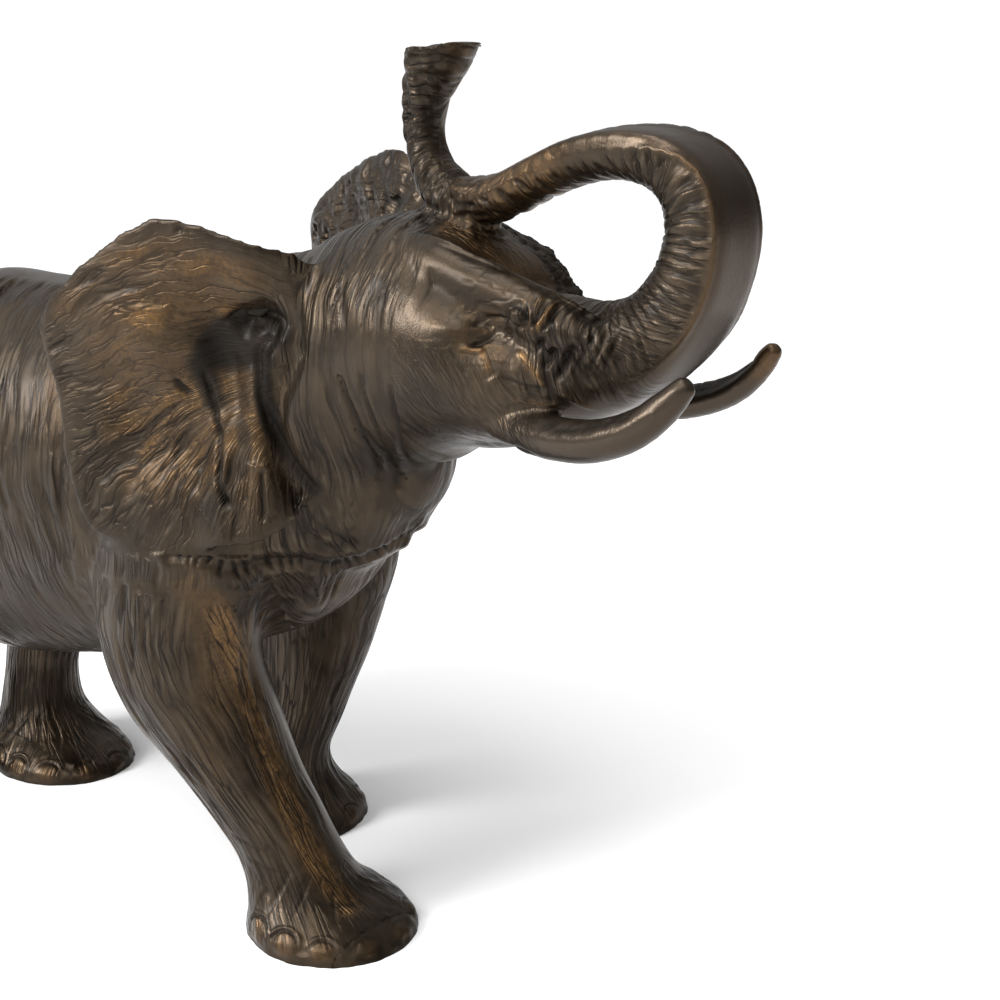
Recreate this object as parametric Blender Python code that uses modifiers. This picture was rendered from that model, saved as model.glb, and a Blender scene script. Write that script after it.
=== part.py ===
"""Cast figurine of a striding African elephant, its trunk curled back over the head.

The whole figurine is one casting, so it is one closed solid named elephant.
Sizes are millimetres in a body frame: f forward, l to the animal's left, z up.
The animal faces -Y and its left side is +X.
"""
from math import cos, pi, radians, sin

import bmesh
import bpy
import numpy as np

MM = 0.001
TRIANGLES = 9700
VOXEL = 1.25
SMOOTH_PASSES = 5
MASS_PASSES = 45

HEAD_TURN = 10.0
HEAD_PIVOT = (30.0, 0.0)
EAR_SPREAD_NEAR = 17.0
EAR_SPREAD_FAR = 10.0
EAR_ROOT_F = 64.0
EAR_ROOT_L = 33.0
EAR_FAR_LIFT = 9.0
EAR_FAR_ROLL = 9.5
EAR_FAR_STRETCH = 1.06
TUSK_FAR_SHIFT = (-2.0, 2.8)
TUSK_FAR_SLIM = 0.88
TRUNK_END = (78.0, 279.0, 0.1)
EAR_THICK = 3.4
TRUNK_RING_PITCH = 4.4
TRUNK_RING_DEPTH = 0.45
NAIL_RADIUS = 4.2
NAIL_HEIGHT = 0.9
COLLAR_WIDTH = 2.2
COLLAR_DEPTH = 1.3
EAR_ROOT_DIVE = 15.0

# Torso stations: forward, back line, belly line, half width.
TORSO = (
    (-176, 154, 126, 13), (-174, 162, 118, 20), (-169, 171, 105, 28), (-161, 182, 90, 36),
    (-146, 193, 74, 43), (-126, 201, 63, 48), (-104, 204, 58, 51), (-78, 203, 62, 52),
    (-50, 203, 68, 52), (-20, 205, 76, 50), (10, 209, 86, 46), (34, 206, 97, 41),
    (54, 196, 108, 34), (67.5, 181, 118, 27), (76, 167, 128, 20), (80, 157, 135, 12),
)
# Tube stations: forward, left, up, half width across, half depth in the plane of the path.
NECK = (
    (-30, 0, 146, 44, 50), (0, 0, 156, 45, 55), (25, -1, 166, 42, 52),
    (50, -3, 179, 38, 44), (71, -7, 191, 35, 36.5), (92, -11, 199, 33, 34),
    (104, -13, 201, 29, 30),
)
HEAD = (
    (60, 0, 190, 31, 36), (80, 0, 195, 34, 38), (98, 0, 198, 34, 37),
    (114, 0, 196.5, 33, 30.5), (128, 0, 193.5, 30, 23), (142, 0, 194.5, 25, 17.5),
    (154, 0, 197.5, 20, 14),
)
# Trunk stations carry one more number: how flat the outer face is.
TRUNK = (
    (138, 0, 195.5, 22, 19, 0.0), (151, 0, 197.5, 19, 16.5, 0.1),
    (161.5, 0, 201, 16, 14.5, 0.35), (170.5, 0, 206, 14.4, 13.0, 0.7),
    (178, 0, 213.5, 13.2, 12.2, 1.0), (183.6, 0, 223.5, 12.4, 11.6, 1.0),
    (185.6, 0, 235, 12.2, 11.0, 1.0), (182.6, 0, 245.0, 12.0, 10.1, 1.0),
    (173.8, 0, 251.6, 11.8, 8.8, 1.0), (160.5, 0, 253.4, 11.4, 7.4, 1.0),
    (146, 0, 251.2, 10.6, 6.8, 0.9), (132, 0, 246.2, 9.6, 6.6, 0.8),
    (118.5, 0, 240.4, 8.8, 6.9, 0.6), (107, 0, 237.8, 8.0, 7.4, 0.5),
    (97, 0, 239.4, 7.4, 7.4, 0.4), (89.2, 0, 246.5, 6.6, 6.6, 0.3),
    (86.0, 0, 256, 6.2, 6.1, 0.2), (87.0, 0, 265, 7.0, 7.0, 0.2),
    (89.6, 0, 273, 9.0, 9.0, 0.1), (92.5, 0, 281, 11.9, 12.0, 0.0),
    (94, 0, 288, 13.0, 12.6, 0.0),
)
TUSK = (
    (132, 17, 181.0, 6.6, 6.4), (145, 20, 179.6, 6.6, 6.2), (157, 22.5, 179.9, 6.3, 6.1),
    (169, 24, 181.7, 6.0, 5.9), (181, 24, 186.4, 5.5, 5.3), (190, 23, 193.5, 4.5, 4.4),
    (195.3, 22, 199.5, 3.2, 3.2),
)
# Ridges over the eyes that frame the hollow forehead.
BROW = (
    (84, 12, 222, 9, 9), (104, 16, 221.5, 9, 8.5), (120, 17.5, 216.5, 8.5, 8.5),
    (135, 17, 213, 8, 8), (150, 15, 207.5, 8, 8), (163, 11, 202, 8, 7),
)
BROW_FAR = (
    (84, 12, 222, 9, 9), (102, 15, 220.8, 9, 8.5), (117, 16, 215, 8.5, 8.5),
    (129, 15, 206, 8, 8), (140, 13, 197, 8, 7),
)
JAW = (
    (96, 0, 178, 16, 12), (112, 0, 177.3, 14, 11), (126, 0, 177.2, 10, 8.4), (137, 0, 176.4, 5.5, 5.5),
)
LEG_FRONT_RIGHT = (
    (16, -22, 172, 14, 24), (9, -28, 146, 21, 36), (2, -31, 118, 23, 33),
    (-0.2, -32.8, 97, 22.7, 30.6), (5.5, -32.8, 78, 22.3, 27.2), (17, -31.8, 61, 20.8, 20.8),
    (27.6, -31.3, 45, 17.9, 17.2), (37, -30.3, 31, 16, 16.5), (42.8, -29.5, 20, 17, 17.6),
    (48, -29.5, 12.5, 20.5, 19.6), (54.3, -29.5, 7, 25, 24.6), (58, -29.2, 1, 27.5, 29.5),
    (58, -29.2, -14, 27.5, 29.5),
)
LEG_FRONT_LEFT = (
    (16, 20, 170, 14, 24), (8, 26, 144, 21, 36), (8.5, 29.5, 114, 22, 36.5),
    (7.2, 31, 89, 20, 28.6), (4.5, 31, 68, 18, 22.5), (0.5, 30, 47, 15.5, 17.3),
    (-4.7, 29, 31, 15, 15.8), (-6.3, 28.5, 20, 16.5, 17.5), (-5.6, 28, 12.5, 20.5, 21.5),
    (-3.9, 27.6, 6.5, 25.5, 25.5), (-3, 27.5, 0, 27.5, 28.2), (-3, 27.5, -14, 27.5, 28.2),
)
LEG_HIND_LEFT = (
    (-126, 14, 172, 14, 24), (-130, 24, 140, 23, 39), (-127, 27, 106, 22, 34),
    (-120.5, 27, 81, 18, 25), (-125.5, 25, 60, 15.5, 18), (-129.5, 24, 43, 14.5, 15),
    (-129.5, 22, 31, 14.8, 15.2), (-128.5, 20.5, 20, 16.5, 18), (-124, 18.5, 12.5, 20.5, 24),
    (-117, 17, 6.5, 24, 28.5), (-115, 16.5, 0, 26, 31.5), (-115, 16.5, -14, 26, 31.5),
)
LEG_HIND_RIGHT = (
    (-128, -14, 172, 14, 24), (-135, -24, 142, 23, 38), (-139, -27, 110, 22, 32),
    (-143, -27, 83, 18.5, 25), (-154, -26, 60, 15.5, 18.5), (-163, -25, 42, 14.5, 15.5),
    (-168, -25, 31, 14.8, 16), (-169, -24.5, 20, 16.5, 18.5), (-166.5, -24, 12.5, 20.5, 23.5),
    (-161.5, -23.5, 6.5, 24, 28.5), (-160.5, -23.5, 0, 25.8, 31), (-160.5, -23.5, -14, 25.8, 31),
)
TAIL = (
    (-158, 0, 178, 6.5, 6.5), (-171, 1, 172, 5.5, 5.5), (-181, 3, 156, 4.2, 4.2),
    (-185, 6, 134, 3.4, 3.4), (-184, 9, 112, 3.2, 3.2), (-180, 11, 94, 4.6, 4.6),
    (-178, 12, 82, 3.4, 3.4),
)
# Each foot: middle forward and left, half length and half width.
FEET = (
    (58, -29.2, 29.5, 27.5), (-3, 27.5, 28.2, 27.5), (-115, 16.5, 31.5, 26),
    (-160.5, -23.5, 31, 25.8),
)
NAIL_ANGLES = (-84, -52, -21, 10, 40)
EYE = (141.5, 27.0, 209.0)
SOCKET = (132.0, 28.0, 210.0)
# Creases on each side of the head: points of the path, half width and depth.
CREASES = (
    (((134, 26, 214), (140, 27, 213), (147, 25, 211)), 1.3, 1.0),
    (((132, 27, 207), (139, 28, 205.5), (147, 25, 206)), 1.3, 1.0),
    (((132, 31, 203), (137, 31, 196), (136, 31, 189)), 1.5, 0.8),
    (((150, 19, 176), (140, 22, 186), (150, 21, 188)), 1.5, 0.9),
    (((112, 14, 167), (126, 11, 171), (138, 6, 174)), 1.2, 1.0),
)
# Fold of skin where the neck meets the chest, from the ear's foot to the breast.
COLLAR = ((10, -47, 126), (30, -43, 123), (46, -39, 127), (60, -33, 130), (71, -24, 129), (80, 0, 135))
# Deep hollows at the root of the ear: the crease against the neck and the cup behind it.
EAR_ROOT_CUTS = (
    (((40, 40, 201), (49, 41, 203.5), (56, 41, 202), (58, 41, 196), (54, 41, 188), (50.4, 41, 179),
      (49, 41, 170), (51, 41, 163), (54, 40, 156), (58, 38.5, 149)), 4.2, 5.5),
    (((30, 44, 199), (32, 41, 188), (35, 41, 177)), 5.0, 3.0),
)
# Ear outline: distance back from the root and height, going up over the top and round.
EAR_OUTLINE = (
    (-4, 221), (8, 225), (20, 228.3), (33, 231.5), (43, 232.5), (51, 229), (65, 220.5), (78.5, 210.5),
    (86, 204), (90, 196.5), (88, 188), (84, 177), (83, 163), (83, 151), (78, 135), (72, 129),
    (63, 130), (57, 126), (49, 124), (40, 126), (34, 129), (25, 132), (12, 134), (2, 141),
    (-6, 154), (-6, 170), (-6, 188), (-6, 204),
)
EAR_CENTRE = (38.0, 178.0)


def to_world(points):
    """Body frame millimetres to scene metres."""
    p = np.asarray(points, float)
    return np.stack((p[:, 1], -p[:, 0], p[:, 2]), axis=1) * MM


def to_body(points):
    """Scene metres to body frame millimetres."""
    p = np.asarray(points, float) / MM
    return np.stack((-p[:, 1], p[:, 0], p[:, 2]), axis=1)


def turn_head(points):
    """Points given straight ahead are turned to the animal's right about the neck."""
    t = radians(HEAD_TURN)
    p = np.asarray(points, float)
    f = p[:, 0] - HEAD_PIVOT[0]
    out = p.copy()
    out[:, 0] = HEAD_PIVOT[0] + f * cos(t) + p[:, 1] * sin(t)
    out[:, 1] = -f * sin(t) + p[:, 1] * cos(t)
    return out


def smooth_line(stations, steps):
    """Catmull-Rom curve through every column of the stations."""
    s = np.asarray(stations, float)
    padded = np.vstack((2 * s[0] - s[1], s, 2 * s[-1] - s[-2]))
    rows = []
    for i in range(len(s) - 1):
        a, b, c, d = padded[i:i + 4]
        for k in range(steps):
            t = k / steps
            rows.append(0.5 * (2 * b + (c - a) * t + (2 * a - 5 * b + 4 * c - d) * t * t
                               + (3 * b - a - 3 * c + d) * t ** 3))
    rows.append(s[-1])
    return np.array(rows)


def path_frames(line, planted=False):
    """Tangent, side and normal vectors along a path near the animal's middle plane.

    The path of a planted leg ends straight down, so that its foot is flat on the ground.
    """
    tangent = np.gradient(line[:, :3], axis=0)
    if planted:
        tangent /= np.linalg.norm(tangent, axis=1)[:, None]
        upright = np.clip((34 - line[:, 2]) / 20, 0, 1)[:, None]
        tangent = tangent * (1 - upright) + np.array((0.0, 0.0, -1.0)) * upright
    tangent /= np.linalg.norm(tangent, axis=1)[:, None]
    side = np.tile((0.0, 1.0, 0.0), (len(line), 1))
    normal = np.cross(tangent, side)
    normal /= np.linalg.norm(normal, axis=1)[:, None]
    side = np.cross(normal, tangent)
    return tangent, side, normal


def section(angles, flat):
    """Unit section: round, or with the outer half squared off by flat."""
    c, s = np.cos(angles), np.sin(angles)
    square_c = np.sign(c) * np.abs(c) ** 0.42
    square_s = np.sign(s) * np.abs(s) ** 0.42 * 0.94
    outer = np.clip(-s * 2.5 + 0.3, 0, 1) * flat
    return c + (square_c - c) * outer, s + (square_s - s) * outer


def loft(bm, rings):
    """Closed body through rings of equal length, flat at both ends."""
    count = len(rings[0])
    start = len(bm.verts)
    for ring in rings:
        for co in to_world(ring):
            bm.verts.new(co)
    bm.verts.ensure_lookup_table()
    row = [bm.verts[start + i * count:start + (i + 1) * count] for i in range(len(rings))]
    for lower, upper in zip(row, row[1:]):
        for k in range(count):
            j = (k + 1) % count
            bm.faces.new((lower[k], lower[j], upper[j], upper[k]))
    bm.faces.new(tuple(reversed(row[0])))
    bm.faces.new(tuple(row[-1]))


def tube(bm, stations, place=None, steps=5, sides=28, round_ends=(True, True), level=None,
         planted=False, blunt=0.55):
    """Tube of changing elliptical section along a smooth path."""
    table = np.asarray(stations, float)
    if table.shape[1] == 5:
        table = np.hstack((table, np.zeros((len(table), 1))))
    line = smooth_line(table, steps)
    tangent, side, normal = path_frames(line, planted)
    angles = np.linspace(0, 2 * pi, sides, endpoint=False)
    rings = []
    for i, row in enumerate(line):
        x, y = section(angles, row[5])
        rings.append(row[:3] + side[i] * (row[3] * x)[:, None] + normal[i] * (row[4] * y)[:, None])
    for end, way, wanted in ((0, -1.0, round_ends[0]), (-1, 1.0, round_ends[1])):
        if wanted:
            middle = line[end][:3]
            reach = blunt * min(line[end][3], line[end][4])
            caps = []
            for k in (1, 2, 3):
                a = k * pi / 7
                ring = middle + (rings[end] - middle) * cos(a) + tangent[end] * way * reach * sin(a)
                caps.append(ring)
            rings = caps[::-1] + rings if end == 0 else rings + caps
    if level:
        f0, z0, slope = level
        for ring in rings:
            ring[:, 2] = np.minimum(ring[:, 2], z0 + (ring[:, 0] - f0) * slope)
    if place:
        rings = [place(ring) for ring in rings]
    loft(bm, rings)


def ear(bm, way, spread, lift, roll, stretch):
    """Dished ear: a flattened ball stretched to the ear outline.

    way is -1 for the animal's right ear and +1 for its left one.
    """
    c0 = np.array(EAR_CENTRE)
    rim = np.array(EAR_OUTLINE, float) - c0
    rim_angle = np.arctan2(rim[:, 1], rim[:, 0])
    order = np.argsort(rim_angle)
    rim_angle = rim_angle[order]
    rim_reach = np.hypot(rim[:, 0], rim[:, 1])[order]
    ball = bmesh.new()
    bmesh.ops.create_uvsphere(ball, u_segments=72, v_segments=36, radius=1.0)
    p = np.array([v.co[:] for v in ball.verts])
    angle = np.arctan2(p[:, 1], p[:, 0])
    r = np.clip(np.hypot(p[:, 0], p[:, 1]), 0, 1)
    reach = np.interp(angle, rim_angle, rim_reach, period=2 * pi)
    back = c0[0] + r * reach * np.cos(angle)
    up = c0[1] + r * reach * np.sin(angle)
    out = ear_dish(back, up, r) + np.sign(p[:, 2]) * np.abs(p[:, 2]) ** 0.8 * EAR_THICK
    tilt = radians(roll)
    back = back * stretch
    up, back = up + back * sin(tilt), back * cos(tilt) - (up - c0[1]) * sin(tilt)
    t = radians(spread)
    f = EAR_ROOT_F - back * cos(t) + out * sin(t)
    l = way * (EAR_ROOT_L + back * sin(t) + out * cos(t))
    points = turn_head(np.stack((f, l, up + lift), axis=1))
    for v, co in zip(ball.verts, to_world(points)):
        v.co = co
    if way < 0:
        bmesh.ops.reverse_faces(ball, faces=ball.faces[:])
    mesh = bpy.data.meshes.new("ear_form")
    ball.to_mesh(mesh)
    ball.free()
    bm.from_mesh(mesh)
    bpy.data.meshes.remove(mesh)


def dent(x, y, cx, cy, wx, wy):
    return np.exp(-(((x - cx) / wx) ** 2 + ((y - cy) / wy) ** 2))


def ear_dish(back, up, r):
    """How far the ear stands out from its plane."""
    out = 6.0 * r ** 2.2 - EAR_ROOT_DIVE * np.clip((14 - back) / 20, 0, 1) ** 1.4
    out = out - 7.5 * dent(back, up, 20, 186, 14, 26)
    out = out - 4.0 * dent(back, up, 34, 160, 16, 22)
    out = out + 4.5 * dent(back, up, 26, 152, 7, 20)
    out = out + 4.0 * dent(back, up, 52, 196, 24, 16)
    out = out - 3.0 * dent(back, up, 58, 168, 10, 22)
    return out


def forms():
    """All the rough forms of the animal in one mesh."""
    bm = bmesh.new()
    rows = [(f, 0, (top + low) / 2, w, (top - low) / 2) for f, top, low, w in TORSO]
    tube(bm, rows, sides=40, blunt=0.28)
    tube(bm, NECK, sides=36)
    tube(bm, HEAD, place=turn_head, sides=36)
    tube(bm, TRUNK, place=turn_head, sides=36, steps=6, round_ends=(False, False),
         level=TRUNK_END)
    for way in (-1, 1):
        shift = TUSK_FAR_SHIFT if way > 0 else (0, 0)
        slim = TUSK_FAR_SLIM if way > 0 else 1.0
        rows = [(f + shift[0], way * l, z + shift[1], a * slim, b * slim) for f, l, z, a, b in TUSK]
        tube(bm, rows, place=turn_head, sides=24)
        rows = [(f, way * l, z, a, b) for f, l, z, a, b in (BROW if way < 0 else BROW_FAR)]
        tube(bm, rows, place=turn_head, sides=18)
    tube(bm, JAW, place=turn_head, sides=20)
    for leg in (LEG_FRONT_RIGHT, LEG_FRONT_LEFT, LEG_HIND_LEFT, LEG_HIND_RIGHT):
        tube(bm, leg, round_ends=(True, False), planted=True)
    tube(bm, TAIL, sides=18)
    ear(bm, -1, EAR_SPREAD_NEAR, 0.0, 0.0, 1.0)
    ear(bm, 1, EAR_SPREAD_FAR, EAR_FAR_LIFT, EAR_FAR_ROLL, EAR_FAR_STRETCH)
    return bm


def ready(obj):
    """Mesh of an object with its modifiers worked out."""
    graph = bpy.context.evaluated_depsgraph_get()
    return bpy.data.meshes.new_from_object(obj.evaluated_get(graph))


def swap_mesh(obj, mesh):
    old = obj.data
    obj.modifiers.clear()
    obj.data = mesh
    bpy.data.meshes.remove(old)


def soften(body):
    """Long smoothing of the big masses only: torso, neck and the tops of the legs."""
    p = to_body([v.co[:] for v in body.data.vertices])
    f, l, z = p.T
    big = np.clip((z - 55) / 30, 0, 1) * np.clip((70 - np.abs(f - 20)) / 12, 0, 1)
    big = np.maximum(big, np.clip((z - 55) / 30, 0, 1) * np.clip((-35 - f) / 15, 0, 1))
    ear_zone = (np.abs(f - 15) < 66) & (z > 116) & (np.abs(l + 0.17 * (f - 30)) > 31)
    throat = (f > 62) & (z < 158)
    big = np.where(ear_zone, 0.0, big)
    big = np.where(throat, np.clip((100 - f) / 12, 0, 1), big)
    tail = (np.hypot(np.abs(l) * 0.6, f + 182) < 14) & (z < 170)
    big = np.where(tail, 0.0, big)
    group = body.vertex_groups.new(name="masses")
    for level in range(1, 11):
        picked = np.flatnonzero(np.round(big * 10) == level)
        group.add([int(i) for i in picked], level / 10, "REPLACE")
    blend = body.modifiers.new("masses", "SMOOTH")
    blend.factor = 0.5
    blend.iterations = MASS_PASSES
    blend.vertex_group = "masses"
    swap_mesh(body, ready(body))
    body.vertex_groups.clear()


def unturn_head(points):
    """Body frame points back to the frame in which the head looks straight ahead."""
    t = radians(HEAD_TURN)
    f = points[:, 0] - HEAD_PIVOT[0]
    l = points[:, 1]
    out = points.copy()
    out[:, 0] = HEAD_PIVOT[0] + f * cos(t) - l * sin(t)
    out[:, 1] = f * sin(t) + l * cos(t)
    return out


def along(points, path):
    """Distance to a polyline and the length run along it to the nearest place."""
    path = np.asarray(path, float)
    best = np.full(len(points), 1e9)
    run = np.zeros(len(points))
    start = 0.0
    for a, b in zip(path, path[1:]):
        step = b - a
        size = float(np.linalg.norm(step))
        t = np.clip((points - a) @ step / size ** 2, 0, 1)
        gap = np.linalg.norm(points - a - t[:, None] * step, axis=1)
        near = gap < best
        best = np.where(near, gap, best)
        run = np.where(near, start + t * size, run)
        start += size
    return best, run


def groove(points, path, width, depth):
    gap, _ = along(points, path)
    return -depth * np.exp(-((gap / width) ** 2))


def trunk_rings(head):
    """Rings over the trunk's back and sides; its outer face stays smooth."""
    line = smooth_line(np.array(TRUNK, float), 4)
    gap, run = along(head, line[:, :3])
    _, _, normal = path_frames(line)
    lengths = np.concatenate(([0], np.cumsum(np.linalg.norm(np.diff(line[:, :3], axis=0), axis=1))))
    near = [np.interp(run, lengths, line[:, k]) for k in range(3)]
    back = [np.interp(run, lengths, normal[:, k]) for k in range(3)]
    size = np.interp(run, lengths, line[:, 4])
    rise = sum((head[:, k] - near[k]) * back[k] for k in range(3)) / size
    cover = np.clip((rise + 0.45) / 0.3, 0, 1) * (gap < 1.9 * size) * (run > 26)
    cover = cover * np.clip((lengths[-1] - 8 - run) / 3, 0, 1)
    wave = np.abs(np.sin(pi * run / TRUNK_RING_PITCH))
    return cover * TRUNK_RING_DEPTH * (wave - 0.6)


def foot_nails(points):
    out = np.zeros(len(points))
    for f, l, long, wide in FEET:
        for a in NAIL_ANGLES:
            spot = (f + (long - 1.0) * cos(radians(a)), l + (wide - 1.0) * sin(radians(a)), 4.2)
            gap = np.linalg.norm((points - spot) * (1, 1, 0.8), axis=1) / NAIL_RADIUS
            out += NAIL_HEIGHT * np.exp(-gap ** 4)
    return out


def carve(body):
    """The carving deep enough to read from a step away, pushed along the surface normals."""
    mesh = body.data
    p = to_body([v.co[:] for v in mesh.vertices])
    n = to_body([v.normal[:] for v in mesh.vertices]) * MM
    head = unturn_head(p)
    push = trunk_rings(head) + foot_nails(p)
    right = head[:, 1] < 0
    for side in (-1, 1):
        mirrored = head * (1, side, 1)
        keep = head[:, 1] * side > 0
        eye = 1.7 * np.exp(-(np.linalg.norm((mirrored - EYE) * (1, 0.6, 1.5), axis=1) / 4.2) ** 2)
        socket = -2.2 * np.exp(-(np.linalg.norm((mirrored - SOCKET) * (0.8, 0.5, 1), axis=1) / 7) ** 2)
        push = push + np.where(keep, eye + socket, 0)
        for path, width, depth in CREASES:
            push = push + np.where(keep, groove(mirrored, path, width, depth), 0)
    for path, width, depth in EAR_ROOT_CUTS:
        push = push + np.where(right, groove(p * (1, -1, 1), path, width, depth),
                               groove(p, path, width, depth))
    push = push + np.where(right, groove(p, COLLAR, COLLAR_WIDTH, COLLAR_DEPTH),
                           groove(p * (1, -1, 1), COLLAR, COLLAR_WIDTH, COLLAR_DEPTH))
    moved = to_world(p + n * push[:, None])
    for v, co in zip(mesh.vertices, moved):
        v.co = co


def main():
    for obj in list(bpy.data.objects):
        bpy.data.objects.remove(obj, do_unlink=True)
    group = bpy.data.collections.new("elephant_figurine")
    bpy.context.scene.collection.children.link(group)

    mesh = bpy.data.meshes.new("elephant")
    bm = forms()
    bm.to_mesh(mesh)
    bm.free()
    body = bpy.data.objects.new("elephant", mesh)
    group.objects.link(body)

    skin = body.modifiers.new("union", "REMESH")
    skin.mode = "VOXEL"
    skin.voxel_size = VOXEL * MM
    skin.adaptivity = 0.0
    blend = body.modifiers.new("blend", "SMOOTH")
    blend.factor = 0.5
    blend.iterations = SMOOTH_PASSES
    swap_mesh(body, ready(body))
    soften(body)
    carve(body)

    thin = body.modifiers.new("thin", "DECIMATE")
    thin.ratio = min(1.0, TRIANGLES / max(1, sum(len(p.vertices) - 2 for p in body.data.polygons)))
    swap_mesh(body, ready(body))

    bm = bmesh.new()
    bm.from_mesh(body.data)
    bmesh.ops.bisect_plane(bm, geom=bm.verts[:] + bm.edges[:] + bm.faces[:], dist=0.00001,
                           plane_co=(0, 0, 0), plane_no=(0, 0, 1), clear_inner=True)
    bmesh.ops.holes_fill(bm, edges=[e for e in bm.edges if e.is_boundary], sides=0)
    bmesh.ops.triangulate(bm, faces=bm.faces[:])
    bmesh.ops.recalc_face_normals(bm, faces=bm.faces[:])
    co = np.array([v.co[:] for v in bm.verts])
    middle = (co.max(axis=0) + co.min(axis=0)) / 2
    bmesh.ops.translate(bm, vec=(-middle[0], -middle[1], 0.0), verts=bm.verts[:])
    bm.to_mesh(body.data)
    bm.free()
    print("box mm", (co.max(axis=0) - co.min(axis=0)) / MM, "middle mm", middle / MM)
    print("triangles", len(body.data.polygons))

    bronze = bpy.data.materials.new("bronze_patina")
    bronze.use_nodes = True
    shader = bronze.node_tree.nodes["Principled BSDF"]
    shader.inputs["Base Color"].default_value = (0.045, 0.034, 0.025, 1.0)
    shader.inputs["Metallic"].default_value = 0.85
    shader.inputs["Roughness"].default_value = 0.42
    body.data.materials.clear()
    body.data.materials.append(bronze)


main()
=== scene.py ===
"""Cast bronze figurine of a striding elephant, its trunk curled back until it meets the head.

The whole figurine is one casting. Its form comes from the same named stations as the solid,
worked at a finer step, and the carving, the patina with its painted shade and highlights, and
the studio are added here.
Sizes are millimetres in a body frame: f forward, l to the animal's left, z up.
"""

import logging
from dataclasses import dataclass, field
from enum import Enum
from math import cos, pi, radians, sin

import bmesh
import bpy
import numpy as np
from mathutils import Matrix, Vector

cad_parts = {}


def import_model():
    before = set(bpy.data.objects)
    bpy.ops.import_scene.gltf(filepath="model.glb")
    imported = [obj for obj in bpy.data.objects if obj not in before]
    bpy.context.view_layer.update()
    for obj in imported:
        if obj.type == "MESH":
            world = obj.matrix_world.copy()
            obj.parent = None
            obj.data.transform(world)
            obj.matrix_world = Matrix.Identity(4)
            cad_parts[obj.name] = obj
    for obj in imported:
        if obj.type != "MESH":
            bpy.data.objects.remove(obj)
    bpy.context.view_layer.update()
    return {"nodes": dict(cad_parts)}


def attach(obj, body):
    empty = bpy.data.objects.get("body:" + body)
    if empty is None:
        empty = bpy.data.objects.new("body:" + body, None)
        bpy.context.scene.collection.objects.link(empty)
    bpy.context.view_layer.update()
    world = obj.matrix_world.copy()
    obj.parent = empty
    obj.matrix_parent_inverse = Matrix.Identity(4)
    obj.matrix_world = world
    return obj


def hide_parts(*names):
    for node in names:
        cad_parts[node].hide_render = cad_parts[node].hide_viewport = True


MM = 0.001
LOG = logging.getLogger("elephant")

Row = tuple[float, ...]
Rows = tuple[Row, ...]


class Side(Enum):
    """Which side of the animal a paired form is on, as the sign of l."""

    RIGHT = -1
    LEFT = 1


class Ground(Enum):
    """How a form ends below: closed round, or run down past the ground and cut there."""

    FREE = "free"
    PLANTED = "planted"


def to_row(points: np.ndarray, middle: Row) -> np.ndarray:
    """Turns body frame millimetres into metres of the shared frame.

    Args:
        points: Points as f, l, z.
        middle: Middle of the casting in the unshifted frame, across and along.

    Returns:
        Points as x, y, z in metres.
    """
    p = np.asarray(points, float)
    return np.stack((p[:, 1] - middle[0], -p[:, 0] - middle[1], p[:, 2]), axis=1) * MM


def smooth_line(stations: np.ndarray, steps: int) -> np.ndarray:
    """Runs a Catmull-Rom curve through every column of the stations.

    Args:
        stations: One row per station.
        steps: Places per span.

    Returns:
        The rows along the curve.
    """
    s = np.asarray(stations, float)
    padded = np.vstack((2 * s[0] - s[1], s, 2 * s[-1] - s[-2]))
    rows = []
    for i in range(len(s) - 1):
        a, b, c, d = padded[i:i + 4]
        for k in range(steps):
            t = k / steps
            rows.append(0.5 * (2 * b + (c - a) * t + (2 * a - 5 * b + 4 * c - d) * t * t
                               + (3 * b - a - 3 * c + d) * t ** 3))
    rows.append(s[-1])
    return np.array(rows)


def path_frames(line: np.ndarray, ground: Ground = Ground.FREE) -> tuple[np.ndarray, ...]:
    """Works out the tangent, side and normal vectors along a path.

    Args:
        line: Places along the path, f, l, z first.
        ground: A planted path ends straight down, so that its foot is flat.

    Returns:
        Tangents, sides and normals, one row each per place.
    """
    tangent = np.gradient(line[:, :3], axis=0)
    if ground is Ground.PLANTED:
        tangent /= np.linalg.norm(tangent, axis=1)[:, None]
        upright = np.clip((34 - line[:, 2]) / 20, 0, 1)[:, None]
        tangent = tangent * (1 - upright) + np.array((0.0, 0.0, -1.0)) * upright
    tangent /= np.linalg.norm(tangent, axis=1)[:, None]
    side = np.tile((0.0, 1.0, 0.0), (len(line), 1))
    normal = np.cross(tangent, side)
    normal /= np.linalg.norm(normal, axis=1)[:, None]
    side = np.cross(normal, tangent)
    return tangent, side, normal


def along(points: np.ndarray, path: np.ndarray) -> tuple[np.ndarray, np.ndarray]:
    """Measures points against a polyline.

    Args:
        points: Points to measure.
        path: Corners of the polyline.

    Returns:
        Distance to the polyline, and the length run along it to the nearest place.
    """
    path = np.asarray(path, float)
    best = np.full(len(points), 1e9)
    run = np.zeros(len(points))
    start = 0.0
    for a, b in zip(path, path[1:]):
        step = b - a
        size = float(np.linalg.norm(step))
        t = np.clip((points - a) @ step / size ** 2, 0, 1)
        gap = np.linalg.norm(points - a - t[:, None] * step, axis=1)
        near = gap < best
        best = np.where(near, gap, best)
        run = np.where(near, start + t * size, run)
        start += size
    return best, run


def lengths_of(line: np.ndarray) -> np.ndarray:
    """Length run at each place of a line whose first three columns are f, l, z."""
    return np.concatenate(([0], np.cumsum(np.linalg.norm(np.diff(line[:, :3], axis=0), axis=1))))


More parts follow.
